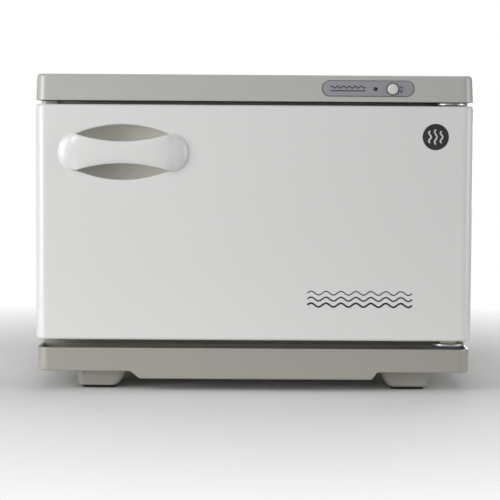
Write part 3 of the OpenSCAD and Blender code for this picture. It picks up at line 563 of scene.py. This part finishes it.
def control_holes(front, back):
    """Cutters for the holes that the button and the lamp stand in."""
    button = middle(*box("power_button"))
    lamp = middle(*box("indicator_lamp"))
    return [drill_y(BUTTON_HOLE_R, front, back, button.x, button.z),
            drill_y(LAMP_HOLE_R, front, back, lamp.x, lamp.z)]


def make_top_cap():
    low, high = box("top_cap")
    label = box("control_label")
    screws = box("cap_screws")

    def plan(inset):
        return outline(low.x, high.x, low.y, high.y, [CAP_CORNER] * 4, inset)

    walls = [(CAP_WALL, high.z - CAP_WALL), (CAP_WALL, low.z + CAP_RIM), (CAP_WALL - CAP_RIM, low.z)]
    walls += [(inset, low.z + rise) for inset, rise in quarter(CAP_LIP)]
    walls += [(CAP_DRAFT + inset, high.z - rise) for inset, rise in reversed(quarter(CAP_ROUND))]
    cap = mesh_object("top_cap_moulding", *loft([level(plan(inset), z) for inset, z in walls]))

    # The recess of the label, with a softened mouth
    at = middle(*label)
    width = label[1].x - label[0].x + 2 * RECESS_GAP
    height = label[1].z - label[0].z + 2 * RECESS_GAP
    mouth_y = low.y + CAP_DRAFT * LABEL_DRAFT
    mouth = [(RECESS_EDGE, low.y - PAST), (RECESS_EDGE, mouth_y)]
    mouth += [(0.0, mouth_y + RECESS_EDGE), (0.0, label[1].y)]
    rings = [upright(stadium(at.x, at.z, width, height, grow), y) for grow, y in mouth]
    cutters = [mesh_object("cutter", *loft(rings))]

    cutters += control_holes(low.y - PAST, low.y + CAP_HOLE_DEPTH)
    screw_z = middle(*screws).z
    for x in (screws[0].x + CAP_SCREW_R, 0.0, screws[1].x - CAP_SCREW_R):
        cutters.append(drill_y(CAP_SCREW_HOLE_R, high.y - CAP_HOLE_DEPTH, high.y + PAST, x, screw_z, 24))
    cut(cap, *cutters)
    mount(cap, "cabinet", "grey_abs", "top_cap")


def make_label():
    low, high = box("control_label")
    at = middle(low, high)
    width = high.x - low.x
    height = high.z - low.z
    edge = [(0.0, high.y), (0.0, low.y + LABEL_EDGE), (-LABEL_EDGE, low.y)]
    rings = [upright(stadium(at.x, at.z, width, height, grow), y) for grow, y in edge]
    plate = mesh_object("label_plate", *loft(rings))
    cut(plate, *control_holes(low.y - PAST, high.y + PAST))
    mount(plate, "cabinet", "label_film", "control_label")


def make_button():
    low, high = box("power_button")
    at = middle(low, high)
    r = high.x - at.x
    back = low.y + BUTTON_DEPTH
    profile = [(POINT_R, low.y)]
    profile += [(r * 0.45, low.y + BUTTON_CROWN * 0.25), (r * 0.7, low.y + BUTTON_CROWN * 0.8)]
    profile += [(r - inset, low.y + BUTTON_CROWN + rise) for inset, rise in quarter(BUTTON_EDGE)]
    profile += [(r, back), (STEM_R, back), (STEM_R, high.y), (POINT_R, high.y)]
    button = mesh_object("push_button", *turned_y(profile, at.x, at.z))
    mount(button, "power_button", "cream_abs", "power_button")


def make_lamp():
    low, high = box("indicator_lamp")
    at = middle(low, high)
    turns = [math.pi / 2 * k / 6 for k in range(1, 7)]
    profile = [(LENS_R * math.sin(t), low.y + LENS_DOME * (1 - math.cos(t))) for t in turns]
    profile += [(LENS_R, low.y + LENS_NECK), (LED_R, low.y + LENS_NECK + 0.1), (LED_R, low.y + LED_DEPTH)]
    profile += [(1.0, low.y + LED_DEPTH + 0.5), (LEAD_R, low.y + LED_DEPTH + 0.6), (LEAD_R, high.y)]
    lamp = mesh_object("lamp_lens", *turned_y(profile, at.x, at.z, 32))
    mount(lamp, "cabinet", "lamp_lens", "indicator_lamp")


# ---------- printed marks: plain pictograms, and dark lines of painted shade round the label and the button ---

MARK_T = 0.06         # how far a printed mark or a painted shade line stands proud
MARK_SINK = 0.05      # how far it reaches into its face
BADGE_R = 10.5
BADGE_FROM_PINS = 10  # from the hinge pins' left side to its middle
BADGE_FROM_TOP = 24.5
BADGE_WAVES = ((-4.6, 9.5), (0.0, 12.0), (4.6, 9.5))  # place and height of each
WAVE_X = 43           # left end of the long waves
WAVE_Z = 70           # height of the lowest one
WAVE_L = 84
WAVE_PITCH = 4.8
BAR_IN = 6.5          # from the label's left end to its wave and bar
BAR_L = 28
STATE_X = 7.2         # from the button's middle to the marks of its two states
RIM_SHADE_LINE = (0.15, 0.5)    # outer and inner inset of the dark line round the label, painted shade of the recess's edge
BUTTON_SHADE_RING = (5.1, 4.7)  # outer and inner radius of the dark ring round the button, painted shade of the gap round it


def ribbon(route, width):
    """Outline of a strip of even width along a route in front view, with round ends."""
    left = []
    right = []
    for i, point in enumerate(route):
        ahead = Vector(route[min(i + 1, len(route) - 1)]) - Vector(route[max(i - 1, 0)])
        side = Vector((-ahead.y, ahead.x)).normalized() * width / 2
        left.append((point[0] + side.x, point[1] + side.y))
        right.append((point[0] - side.x, point[1] - side.y))
    return right + left[::-1]


def wave(start, run, sway, turns, steps=60):
    """A wavy route from start along run, swaying to both sides."""
    start = Vector(start)
    run = Vector(run)
    side = Vector((-run.y, run.x)).normalized() * sway
    return [tuple(start + run * k / steps + side * math.sin(2 * math.pi * turns * k / steps))
            for k in range(steps + 1)]


def stamp(name, outlines, y, body, finish):
    """A printed mark from one or more outlines, on a face at y."""
    parts = [loft([upright(points, y + MARK_SINK), upright(points, y - MARK_T)]) for points in outlines]
    return mount(mesh_object(name, *joined(*parts)), body, None, finish=finish, angle=30)


def hoop(outer, inner, y):
    """Points and faces of a thin dark line on a face between two outlines of equally many points; here it
    paints shade.
    """
    rings = [upright(outer, y + MARK_SINK), upright(outer, y - MARK_T)]
    rings += [upright(inner, y - MARK_T), upright(inner, y + MARK_SINK)]
    return loft(rings, looped=True)


def disc(x, z, r, steps=48):
    """Points round a circle."""
    return [(x + r * math.cos(2 * math.pi * k / steps), z + r * math.sin(2 * math.pi * k / steps))
            for k in range(steps)]


def make_marks():
    # black serves the printed marks and also the painted shade lines round the label and the button
    black = ink("dark_print_and_painted_shade", (0.03, 0.03, 0.032))
    pale = ink("pale_print", (0.72, 0.72, 0.71))
    face = box("door_panel")[0].y

    # Round badge with three rising waves
    x = box("hinge_pins")[0].x - BADGE_FROM_PINS
    z = box("door_panel")[1].z - BADGE_FROM_TOP
    stamp("door_badge", [disc(x, z, BADGE_R)], face, "door", black)
    wisps = [ribbon(wave((x + dx, z - rise / 2), (0, rise), sway=0.9, turns=1.5), width=1.3)
             for dx, rise in BADGE_WAVES]
    stamp("door_badge_waves", wisps, face - MARK_T, "door", pale)

    # Three long level waves low on the hinge side
    lines = []
    for k in range(3):
        route = wave((WAVE_X, WAVE_Z + WAVE_PITCH * k), (WAVE_L, 0), sway=1.5, turns=7, steps=168)
        lines.append(ribbon(route, width=1.5 - 0.3 * k))
    stamp("door_wave_mark", lines, face, "door", black)

    # Label: a level wave over a bar, and the button's two states
    low, high = box("control_label")
    at = middle(low, high)
    button = middle(*box("power_button"))
    state_x = button.x + STATE_X
    route = wave((low.x + BAR_IN, at.z + 1.0), (BAR_L, 0), sway=0.8, turns=6, steps=120)
    marks = [
        ribbon(route, width=0.8),
        stadium(low.x + BAR_IN + BAR_L / 2, at.z - 1.9, width=BAR_L, height=0.8),
        stadium(state_x, button.z + 1.5, width=2.2, height=0.7),
        [(state_x - 1, button.z - 2.4), (state_x + 1, button.z - 2.4), (state_x, button.z - 0.9)],
    ]
    stamp("label_marks", marks, low.y, "cabinet", black)

    # Painted shade: dark lines round the label's edge and round the button, where the recess and the gap
    # fall into shade
    outer, inner = [stadium(at.x, at.z, high.x - low.x, high.z - low.z, -inset) for inset in RIM_SHADE_LINE]
    rims = [hoop(outer, inner, low.y)]
    outer, inner = [disc(button.x, button.z, r) for r in BUTTON_SHADE_RING]
    rims += [hoop(outer, inner, low.y)]
    mount(mesh_object("painted_shade_lines", *joined(*rims)), "cabinet", None, finish=black, angle=30)


# ---------- door ----------

DOOR_FRONT_R = 9
DOOR_BACK_R = 12
DOOR_WALL = 2.5
DOOR_ROUND = 2.4
DOOR_OPEN_D = 12      # depth of the opening in its back that takes the inner panel
LINER_CORNER = 4
LINER_GAP = 0.4
MOUTH_ROUND = 1.1
BUSH_R = 5

EYE_HALF_H = 22
EYE_HALF_W = 38.5
TIP_X = 37            # where the grip's edge crosses the opening's edge
TIP_Z = 14.4
EYE_STEPS = 28
CUP_WALL = 2
CUP_RIM = 0.4         # how far its rim is turned out behind the opening
CUP_FORM = 2.7        # 2 would be an ellipsoid; higher is a flatter floor
CUP_STEPS = 20

GRIP_HALF_W = 51.5
GRIP_T = 4.5
GRIP_RISE = 8
GRIP_WAIST = 8.7
GRIP_LANDS_X = 34     # where its underside starts to come down to the door
GRIP_LANDING = 7
LOBE_FORM = 2.4       # 2 would be an ellipse; higher is squarer
DOME_FORM = 2.3       # the same for the section at the lobes
BAR_FORM = 3.9        # and over the cup
WAIST_BLEND = 16      # higher is a sharper change from waist to lobe
GRIP_STEPS = 72
GRIP_SIDES = 56

PLUG_IN_X = 18        # from the gasket's edge to the raised middle of the inner panel
PLUG_IN_Z = 16
PLUG_CORNER = 8
PLUG_FOOT = 1.5
PLUG_ROUND = 3.0
PLATE_ROUND = 0.6
DISH_IN = 14          # width of the raised rim round the dished middle
DISH_D = 0.9

GASKET_W = 8
GASKET_CORNER = 12
GASKET_STEPS = 16
GASKET_FORM = 0.7     # 1 would be half an ellipse; lower is squarer


def eye(scale=1.0, grow=0.0):
    """The opening behind the grip in front view, about its middle: two wide arcs."""
    sag = EYE_HALF_H - TIP_Z
    r = (TIP_X ** 2 + sag ** 2) / (2 * sag)
    centre = EYE_HALF_H - r
    reach = math.asin((EYE_HALF_W + grow) / (r + grow))
    points = []
    for side in (1, -1):
        for k in range(EYE_STEPS + 1):
            turn = reach * (1 - 2 * k / EYE_STEPS)
            x = (r + grow) * math.sin(turn)
            z = (r + grow) * math.cos(turn) + centre
            points.append((side * scale * x, side * scale * z))
    return points


def moved(points, x, z):
    return [(px + x, pz + z) for px, pz in points]


def handle_middle():
    return middle(*box("handle_grip"))


def make_door_panel():
    low, high = box("door_panel")
    at = handle_middle()

    inner_z = (low.z + DOOR_WALL, high.z - DOOR_WALL)

    def plan(inset):
        corners = (DOOR_FRONT_R, DOOR_FRONT_R, DOOR_BACK_R, DOOR_BACK_R)
        return outline(low.x, high.x, low.y, high.y, corners, inset)

    door = block("door_skin", plan, low.z, high.z, DOOR_ROUND, DOOR_ROUND)
    liner = box("door_liner")
    back = outline(liner[0].x - LINER_GAP, liner[1].x + LINER_GAP, *inner_z, [LINER_CORNER] * 4)
    mouth = [(MOUTH_ROUND, low.y - PAST)]
    mouth += [(inset, low.y + rise) for inset, rise in quarter(MOUTH_ROUND)]
    mouth += [(0.0, low.y + DOOR_WALL + PAST)]
    rings = [upright(moved(eye(grow=grow), at.x, at.z), y) for grow, y in mouth]
    cutters = [
        prism_z(plan(DOOR_WALL), *inner_z),
        prism_y(back, high.y - DOOR_OPEN_D, high.y + PAST),
        mesh_object("cutter", *loft(rings)),
    ]
    pin = middle(*box("hinge_pins"))
    for z in (low.z, high.z):
        cutters.append(drill_z(BUSH_R, z - 2 * DOOR_WALL, z + 2 * DOOR_WALL, pin.x, pin.y))
    cut(door, *cutters)
    mount(door, "door", "white_abs", "door_panel")


def make_cup():
    low, high = box("handle_cup")
    at = handle_middle()
    depth = high.y - CUP_WALL - low.y
    scales = [math.cos(math.pi / 2 * k / CUP_STEPS) for k in range(CUP_STEPS)] + [0.02]

    def ring(scale, grow, y):
        return upright(moved(eye(scale, grow), at.x, at.z), y)

    def bowl(scale, d):
        return d * (1 - scale ** CUP_FORM) ** (1 / CUP_FORM)

    rings = [ring(s, CUP_WALL, high.y - depth + bowl(s, depth)) for s in reversed(scales)]
    rings += [ring(1.0, CUP_WALL, low.y), ring(1.0, CUP_RIM, low.y)]
    rings += [ring(s, 0.0, low.y + CUP_RIM + bowl(s, depth - CUP_RIM)) for s in scales]
    cup = mesh_object("finger_cup", *loft(rings))
    mount(cup, "door", "cup_abs", "handle_cup")


def grip_half(x):
    """Half the grip's height at x from its middle: the waist's arc, rounded over into the lobe."""
    sag = TIP_Z - GRIP_WAIST
    r = (TIP_X ** 2 + sag ** 2) / (2 * sag)
    waist = GRIP_WAIST + r - math.sqrt(r * r - x * x)
    lobe = EYE_HALF_H * max(0.0, 1 - (abs(x) / GRIP_HALF_W) ** LOBE_FORM) ** (1 / LOBE_FORM)
    if lobe <= 0:
        return 0.0
    return (waist ** -WAIST_BLEND + lobe ** -WAIST_BLEND) ** (-1 / WAIST_BLEND)


def ease(value):
    """0 to 1 with soft ends."""
    t = min(1.0, max(0.0, value))
    return t * t * (3 - 2 * t)


def grip_section(x):
    """The grip's section at x from its middle, as pairs of height and distance from the door.
    Over the cup it is a bar that stands free; at the lobes it is a dome that sits on the door."""
    half = grip_half(x)
    rise = GRIP_RISE * math.sqrt(max(0.0, 1 - abs(x / GRIP_HALF_W) ** 3))
    bridge = 1 - ease((abs(x) - GRIP_LANDS_X) / GRIP_LANDING)
    form = DOME_FORM + (BAR_FORM - DOME_FORM) * bridge
    back = max(0.0, rise - GRIP_T) * bridge
    mid = back + (rise - back) / 2 * bridge
    section = []
    for k in range(GRIP_SIDES):
        turn = 2 * math.pi * k / GRIP_SIDES
        c, s = math.cos(turn), math.sin(turn)
        z = math.copysign(abs(c) ** (2 / form), c) * half
        reach = abs(s) ** (2 / form)
        out = mid + (rise - mid) * reach if s >= 0 else mid - (mid - back) * reach
        section.append((z, out))
    return section


def make_grip():
    at = handle_middle()
    face = box("door_panel")[0].y
    rings = []
    for i in range(GRIP_STEPS + 1):
        x = -GRIP_HALF_W * math.cos(math.pi * i / GRIP_STEPS)
        rings.append([(at.x + x, face - out, at.z + z) for z, out in grip_section(x)])
    grip = mesh_object("handle_bow", *loft(rings))
    mount(grip, "door", "white_abs", "handle_grip", angle=60)


def make_liner():
    low, high = box("door_liner")
    gasket = box("door_gasket")
    plate_y = box("door_panel")[1].y
    plug_x = gasket[1].x - PLUG_IN_X

    def plate(inset):
        return outline(low.x, high.x, low.z, high.z, [LINER_CORNER] * 4, inset)

    def plug(inset):
        return outline(-plug_x, plug_x, gasket[0].z + PLUG_IN_Z, gasket[1].z - PLUG_IN_Z,
                       [PLUG_CORNER] * 4, inset)

    rings = [upright(plate(0), low.y)]
    rings += [upright(plate(inset), plate_y - rise) for inset, rise in reversed(quarter(PLATE_ROUND))]
    rings += [upright(plug(-inset), plate_y + rise) for inset, rise in quarter(PLUG_FOOT)]
    rings += [upright(plug(inset), high.y - rise) for inset, rise in reversed(quarter(PLUG_ROUND))]
    rings += [upright(plug(DISH_IN), high.y), upright(plug(DISH_IN + 0.8), high.y - DISH_D / 3)]
    rings += [upright(plug(DISH_IN + 1.6), high.y - DISH_D)]
    mount(mesh_object("door_inner_panel", *loft(rings)), "door", "liner_abs", "door_liner")


def make_gasket():
    low, high = box("door_gasket")
    rings = []
    for k in range(GASKET_STEPS + 1):
        turn = math.pi * k / GASKET_STEPS
        inset = GASKET_W / 2 * (1 - math.cos(turn))
        bulb = abs(math.sin(turn)) ** GASKET_FORM
        edge = outline(low.x, high.x, low.z, high.z, [GASKET_CORNER] * 4, inset)
        rings.append(upright(edge, low.y + (high.y - low.y) * bulb))
    seal = mesh_object("door_seal", *loft(rings, looped=True))
    mount(seal, "door", "white_silicone", "door_gasket", angle=70)


# ---------- chamber ----------

CHAMBER_SHEET = 1.2
CHAMBER_FLANGE = 13
CHAMBER_FOLD = 3      # inner radius of its folds


def make_chamber():
    low, high = box("chamber")

    def skin(inset, y, r=CHAMBER_FOLD):
        return upright(outline(low.x, high.x, low.z, high.z, [CHAMBER_FLANGE + r] * 4, inset), y)

    outer = CHAMBER_FLANGE - CHAMBER_SHEET
    rings = [skin(outer + CHAMBER_FOLD, high.y), skin(outer, high.y - CHAMBER_FOLD)]
    rings += [skin(outer, low.y + CHAMBER_SHEET), skin(0, low.y + CHAMBER_SHEET)]
    rings += [skin(0, low.y), skin(CHAMBER_FLANGE, low.y)]
    rings += [skin(CHAMBER_FLANGE + inset, high.y - CHAMBER_SHEET - rise, 2 * CHAMBER_FOLD)
              for inset, rise in reversed(quarter(CHAMBER_FOLD))]
    mount(mesh_object("chamber_liner", *loft(rings)), "cabinet", "aluminium", "chamber")


# ---------- front frame and base ----------

FRAME_CORNER = 5
FRAME_ROUND = 0.5
FRAME_SLEEVE = 8      # depth of the part that slides into the shell
SLEEVE_STEP = 1.2     # how far it stands in from the sides and the top
SLEEVE_LIFT = 0.2     # and from the bottom
SLEEVE_CORNER = 1.5
MOUTH_FLARE = 1.5
MOUTH_CORNER = 5
POCKET_D = 3          # depth of the hinge pockets
POCKET_HALF_W = 9.2
POCKET_H = 15
POCKET_CORNER = 1.2
HINGE_SCREW_R = 3     # of the head
PILOT_R = 1.55
PILOT_D = 9
MAGNET_GAP = 0.1
MAGNET_CORNER = 0.6
BASE_WALL = 2.5
BASE_FRONT_R = 2
BASE_BACK_R = 10
BASE_ROUND = 1.5
BASE_TOP_ROUND = 0.6
SHELF_FRAME = 3       # width of the thicker floor round the tray's shelf
SHELF_GAP = 0.2
TOP_RIM = 14          # width of the rim round the base's open top, at the sides and the back
TOP_RIM_FRONT = 12
VENT_SLOTS = 10
VENT_PITCH = 14
VENT_HALF_W = 2
VENT_ENDS = (-15, 55)     # along Y


def make_front_frame():
    low, high = box("front_frame")
    step_y = high.y - FRAME_SLEEVE
    chamber = box("chamber")
    magnet = box("catch_magnet")
    screws = box("hinge_screws")
    mouth_x = chamber[1].x - CHAMBER_FLANGE
    mouth_low = chamber[0].z + CHAMBER_FLANGE
    mouth_high = chamber[1].z - CHAMBER_FLANGE

    def plan(inset):
        return outline(low.x, high.x, low.y, step_y, (FRAME_CORNER, FRAME_CORNER, 0.1, 0.1), inset)

    frame_piece = block("mouth_frame", plan, low.z, high.z, FRAME_ROUND, FRAME_ROUND)
    sleeve = outline(low.x + SLEEVE_STEP, high.x - SLEEVE_STEP, low.z + SLEEVE_LIFT, high.z - SLEEVE_STEP,
                     [SLEEVE_CORNER] * 4)
    sunk = 2  # into the block, so that the two share no face
    cut(frame_piece, prism_y(sleeve, step_y - sunk, high.y), operation="UNION")

    mouth = [(MOUTH_FLARE, low.y - PAST)]
    mouth += [(inset, low.y + rise) for inset, rise in quarter(MOUTH_FLARE)]
    mouth += [(0.0, high.y + PAST)]
    rings = [upright(outline(-mouth_x, mouth_x, mouth_low, mouth_high, [MOUTH_CORNER] * 4, -grow), y)
             for grow, y in mouth]
    cutters = [mesh_object("cutter", *loft(rings))]
    pocket_x = screws[0].x + HINGE_SCREW_R
    run = 3 * PAST
    for x in (-pocket_x, pocket_x):
        for z in (low.z - run, high.z - POCKET_H):
            pocket = outline(x - POCKET_HALF_W, x + POCKET_HALF_W, z, z + POCKET_H + run,
                             [POCKET_CORNER] * 4)
            cutters.append(prism_y(pocket, low.y - PAST, low.y + POCKET_D))
        for z in (screws[0].z + HINGE_SCREW_R, screws[1].z - HINGE_SCREW_R):
            cutters.append(drill_y(PILOT_R, low.y - PAST, low.y + PILOT_D, x, z, 24))
    catch = outline(magnet[0].x, magnet[1].x, magnet[0].z, magnet[1].z,
                    [MAGNET_CORNER - MAGNET_GAP] * 4, -MAGNET_GAP)
    cutters.append(prism_y(catch, low.y - PAST, magnet[1].y + MAGNET_GAP))
    cut(frame_piece, *cutters)
    mount(frame_piece, "cabinet", "grey_abs", "front_frame")


def make_base():
    low, high = box("base_housing")
    shelf = box("tray_shelf")

    def plan(inset):
        corners = (BASE_FRONT_R, BASE_FRONT_R, BASE_BACK_R, BASE_BACK_R)
        return outline(low.x, high.x, low.y, high.y, corners, inset)

    base = block("base_moulding", plan, low.z, high.z, BASE_ROUND, BASE_TOP_ROUND)
    cut(base, prism_z(plan(BASE_WALL), low.z + BASE_WALL, high.z - BASE_WALL))
    sunk = 1  # into the walls, so that the thicker floor shares no face with them
    step = outline(shelf[0].x - SHELF_FRAME, shelf[1].x + SHELF_FRAME,
                   low.y + sunk, shelf[1].y + SHELF_FRAME, [0.5] * 4)
    cut(base, prism_z(step, low.z + sunk, low.z + 2 * BASE_WALL), operation="UNION")
    top = outline(low.x + TOP_RIM, high.x - TOP_RIM, low.y + TOP_RIM_FRONT, high.y - TOP_RIM, [2] * 4)
    bed = outline(shelf[0].x - SHELF_GAP, shelf[1].x + SHELF_GAP, low.y - PAST, shelf[1].y + SHELF_GAP,
                  [0.1] * 4)
    cutters = [
        prism_z(top, high.z - 2 * BASE_WALL, high.z + PAST),
        prism_z(bed, low.z - PAST, shelf[1].z + SHELF_GAP / 2),
    ]
    for i in range(VENT_SLOTS):
        x = (i - (VENT_SLOTS - 1) / 2) * VENT_PITCH
        slot = outline(x - VENT_HALF_W, x + VENT_HALF_W, *VENT_ENDS, [VENT_HALF_W - 0.1] * 4)
        cutters.append(prism_z(slot, low.z - PAST, low.z + BASE_WALL + PAST))
    cut(base, *cutters)
    mount(base, "cabinet", "base_abs", "base_housing", angle=30)


# ---------- drip tray ----------

TRAY_WALL = 2.5
TRAY_CORNER = 10
TRAY_BACK_R = 2
TRAY_BED = 2.8        # height of the hollow under the trough's floor
TRAY_FLOOR = 2
TRAY_RIM = 0.9        # round of the rim
TRAY_FOOT = 1.5       # round of the outer lower edge
TRAY_HEEL = 0.5       # chamfer of the inner lower edge
TROUGH_R = 3.0
SLOT_D = 6            # how far the hollow is open at the back
LIP_LEFT = (-100.0, 9.8)   # where the lip starts, and how far its slope runs
LIP_RIGHT = (100.0, 4.8)
LIP_STEPS = 12


def lip_share(x):
    """How much of the lip's drop the front wall has at x: an S at the left, a chamfer at the right."""
    left = ease((x - LIP_LEFT[0]) / LIP_LEFT[1])
    right = min(1.0, max(0.0, (LIP_RIGHT[0] - x) / LIP_RIGHT[1]))
    return min(left, right)


def make_drip_tray():
    low, high = box("drip_tray")
    base_z = box("base_housing")[0].z
    drop = base_z - low.z
    slopes = [LIP_LEFT[0] - 0.5 + LIP_LEFT[1] * k / LIP_STEPS for k in range(LIP_STEPS + 2)]
    lip_end = LIP_RIGHT[0] - LIP_RIGHT[1]
    slopes += [lip_end - 0.6, lip_end, LIP_RIGHT[0], LIP_RIGHT[0] + 0.6]

    def ring(inset, z, falls):
        """The trough's outline at z; where falls is set, its front follows the lip down."""
        corners = (TRAY_CORNER, TRAY_CORNER, TRAY_BACK_R, TRAY_BACK_R)
        points = []
        for x, y in outline(low.x, high.x, low.y, high.y, corners, inset, slopes):
            at_front = y < low.y + TRAY_WALL + 0.1
            points.append((x, y, z - drop * lip_share(x) if falls and at_front else z))
        return points

    floor_z = base_z + TRAY_BED + TRAY_FLOOR
    walls = [(TRAY_WALL, base_z + TRAY_BED, False)]
    walls += [(TRAY_WALL, base_z + TRAY_HEEL, True), (TRAY_WALL - TRAY_HEEL, base_z, True)]
    walls += [(inset, base_z + rise, True) for inset, rise in quarter(TRAY_FOOT)]
    walls += [(inset, high.z - rise, False) for inset, rise in reversed(quarter(TRAY_RIM))]
    walls += [(TRAY_WALL - inset, high.z - rise, False) for inset, rise in quarter(TRAY_RIM)]
    walls += [(TRAY_WALL + inset, floor_z + rise, False) for inset, rise in reversed(quarter(TROUGH_R))]
    tray = mesh_object("drip_trough", *loft([ring(*wall) for wall in walls]))
    reach = high.x - TRAY_WALL
    slot = outline(-reach, reach, high.y - SLOT_D, high.y + PAST, [0.1] * 4)
    cut(tray, prism_z(slot, base_z - PAST, base_z + TRAY_BED))
    mount(tray, "drip_tray", "base_abs", "drip_tray")


# ---------- feet ----------

FOOT_W = 40
FOOT_TAPER_IN = 7.5   # how far a foot narrows on its inner side
FOOT_TAPER_OUT = 2
FOOT_D = 48
FOOT_CORNER = 5
FOOT_ROUND = 1.6
FOOT_STEPS = 10
FOOT_BORE_R = 4.6
FOOT_SCREW_R = 3.8    # of the head
FOOT_HEAD_T = 2.3     # thickness of the head


def make_feet():
    low, high = box("feet")
    screws = box("foot_screws")
    reach = high.x - FOOT_W / 2

    def plan(side, y, z, inset):
        """One foot's outline at z: the lower, the narrower."""
        drop = ((high.z - z) / (high.z - low.z)) ** 2
        inner = side * (reach - FOOT_W / 2 + FOOT_TAPER_IN * drop)
        outer = side * (reach + FOOT_W / 2 - FOOT_TAPER_OUT * drop)
        ends = sorted((inner, outer))
        return level(outline(*ends, y - FOOT_D / 2, y + FOOT_D / 2, [FOOT_CORNER] * 4, inset), z)

    parts = []
    holes = []
    slope_z = low.z + FOOT_ROUND
    for side, screw_x in ((-1, screws[0].x + FOOT_SCREW_R), (1, screws[1].x - FOOT_SCREW_R)):
        for y in (low.y + FOOT_D / 2, high.y - FOOT_D / 2):
            rings = [plan(side, y, low.z + rise, inset) for inset, rise in quarter(FOOT_ROUND)]
            rings += [plan(side, y, slope_z + (high.z - slope_z) * k / FOOT_STEPS, 0)
                      for k in range(1, FOOT_STEPS + 1)]
            parts.append(loft(rings))
        for y in (screws[0].y + FOOT_SCREW_R, screws[1].y - FOOT_SCREW_R):
            holes.append(drill_z(FOOT_BORE_R, -PAST, screws[0].z + FOOT_HEAD_T, screw_x, y, 32))
    feet = mesh_object("moulded_feet", *joined(*parts))
    cut(feet, *holes)
    mount(feet, "cabinet", "base_abs", "feet")


# ---------- pieces that keep their CAD shape ----------

# Width of the rounded edge on carried nodes that have one
EDGES = {
    "hinge_plate_lower": 0.3, "hinge_plate_upper": 0.3, "cord_gland": 0.5, "foot_pads": 0.4,
    "tray_shelf": 0.4, "strike_plate": 0.3, "catch_magnet": 0.4, "terminal_block": 0.3, "switch_body": 0.3,
}
SCREW_EDGE = 0.2


def dress_cad_node(name, slot):
    """Gives a carried node its finish, and rounds its edges a little without touching its mesh."""
    node = frame["nodes"][name]
    node.data.materials.clear()
    node.data.materials.append(finishes[slot])
    width = SCREW_EDGE if name.endswith("screws") else EDGES.get(name)
    if width:
        weld = node.modifiers.new("weld", "WELD")
        weld.merge_threshold = 1e-6
        edge = node.modifiers.new("edge", "BEVEL")
        edge.width = width * MM
        edge.segments = 3
        edge.limit_method = "ANGLE"
        edge.angle_limit = math.radians(40)
        normals = node.modifiers.new("normals", "WEIGHTED_NORMAL")
        normals.keep_sharp = True


# ---------- stage and light ----------

STAGE_R = 3.2         # metres
STAGE_Z = -0.0002     # metres, just clear of the pads
STAGE_SIDES = 96
FADE = (0.24, 0.62)   # metres from the middle over which the floor gives way to the background


def make_floor():
    mesh = bpy.data.meshes.new("floor")
    rim = level(disc(0, 0, STAGE_R, STAGE_SIDES), STAGE_Z)
    mesh.from_pydata(rim, [], [tuple(range(STAGE_SIDES))])
    floor = bpy.data.objects.new("floor", mesh)
    bpy.context.scene.collection.objects.link(floor)
    pale = Surface("pale_floor", (0.86, 0.86, 0.86), 0.7, specular=0.1)
    clear = pale.tree.nodes.new("ShaderNodeBsdfTransparent")
    blend = pale.tree.nodes.new("ShaderNodeMixShader")
    length = pale.tree.nodes.new("ShaderNodeVectorMath")
    length.operation = "LENGTH"
    pale.link(pale.place, length.inputs[0])
    below = pale.tree.nodes.new("ShaderNodeNewGeometry").outputs["Backfacing"]
    pale.link(pale.math("MAXIMUM", pale.ramp(length.outputs["Value"], *FADE), below), blend.inputs["Fac"])
    pale.link(pale.shader.outputs["BSDF"], blend.inputs[1])
    pale.link(clear.outputs["BSDF"], blend.inputs[2])
    out = next(n for n in pale.tree.nodes if n.type == "OUTPUT_MATERIAL")
    pale.link(blend.outputs["Shader"], out.inputs["Surface"])
    mesh.materials.append(pale.material)


def make_background(shown, cast):
    """White behind everything, and a dimmer even light from all round."""
    world = bpy.data.worlds.new("studio")
    bpy.context.scene.world = world
    world.use_nodes = True
    tree = world.node_tree
    light = tree.nodes["Background"]
    light.inputs["Color"].default_value = (1, 1, 1, 1)
    light.inputs["Strength"].default_value = cast
    white = tree.nodes.new("ShaderNodeBackground")
    white.inputs["Strength"].default_value = shown
    white.inputs["Color"].default_value = (1, 1, 1, 1)
    path = tree.nodes.new("ShaderNodeLightPath")
    pick = tree.nodes.new("ShaderNodeMixShader")
    tree.links.new(path.outputs["Is Camera Ray"], pick.inputs["Fac"])
    tree.links.new(light.outputs["Background"], pick.inputs[1])
    tree.links.new(white.outputs["Background"], pick.inputs[2])
    tree.links.new(pick.outputs["Shader"], tree.nodes["World Output"].inputs["Surface"])


def soft_light(name, at, size, power, aim=(0, 0, 0.13)):
    """An area light at a place in metres, turned towards aim."""
    data = bpy.data.lights.new(name, "AREA")
    data.shape = "RECTANGLE"
    data.size = size[0]
    data.size_y = size[1]
    data.energy = power
    lamp = bpy.data.objects.new(name, data)
    lamp.location = at
    lamp.rotation_mode = "QUATERNION"
    lamp.rotation_quaternion = (Vector(aim) - Vector(at)).to_track_quat("-Z", "Y")
    bpy.context.scene.collection.objects.link(lamp)


def make_lights():
    soft_light("key", (-0.75, -0.95, 0.85), (0.5, 0.5), 1.5)
    soft_light("left_window", (-1.25, -0.78, 0.4), (0.7, 1.0), 14)
    soft_light("right_window", (1.45, -0.55, 0.4), (0.7, 0.9), 8)
    soft_light("overhead", (0, 0.2, 1.9), (1.2, 1.2), 6)
    soft_light("front", (-0.4, -2.3, 0.6), (1.3, 1.0), 4)
    soft_light("rear", (0.7, 2.0, 0.35), (1.4, 0.6), 9)


# ---------- put together ----------

make_camera()
finishes = make_finishes()
for subpart in frame["record"]["subparts"]:
    dress_cad_node(subpart["node"], subpart["material_slot"])

make_top_cap()
make_label()
make_button()
make_lamp()
make_door_panel()
make_cup()
make_grip()
make_liner()
make_gasket()
make_chamber()
make_front_frame()
make_base()
make_drip_tray()
make_feet()
make_marks()

make_floor()
make_background(shown=1.0, cast=0.19)
make_lights()
bpy.context.scene.view_settings.view_transform = "Standard"
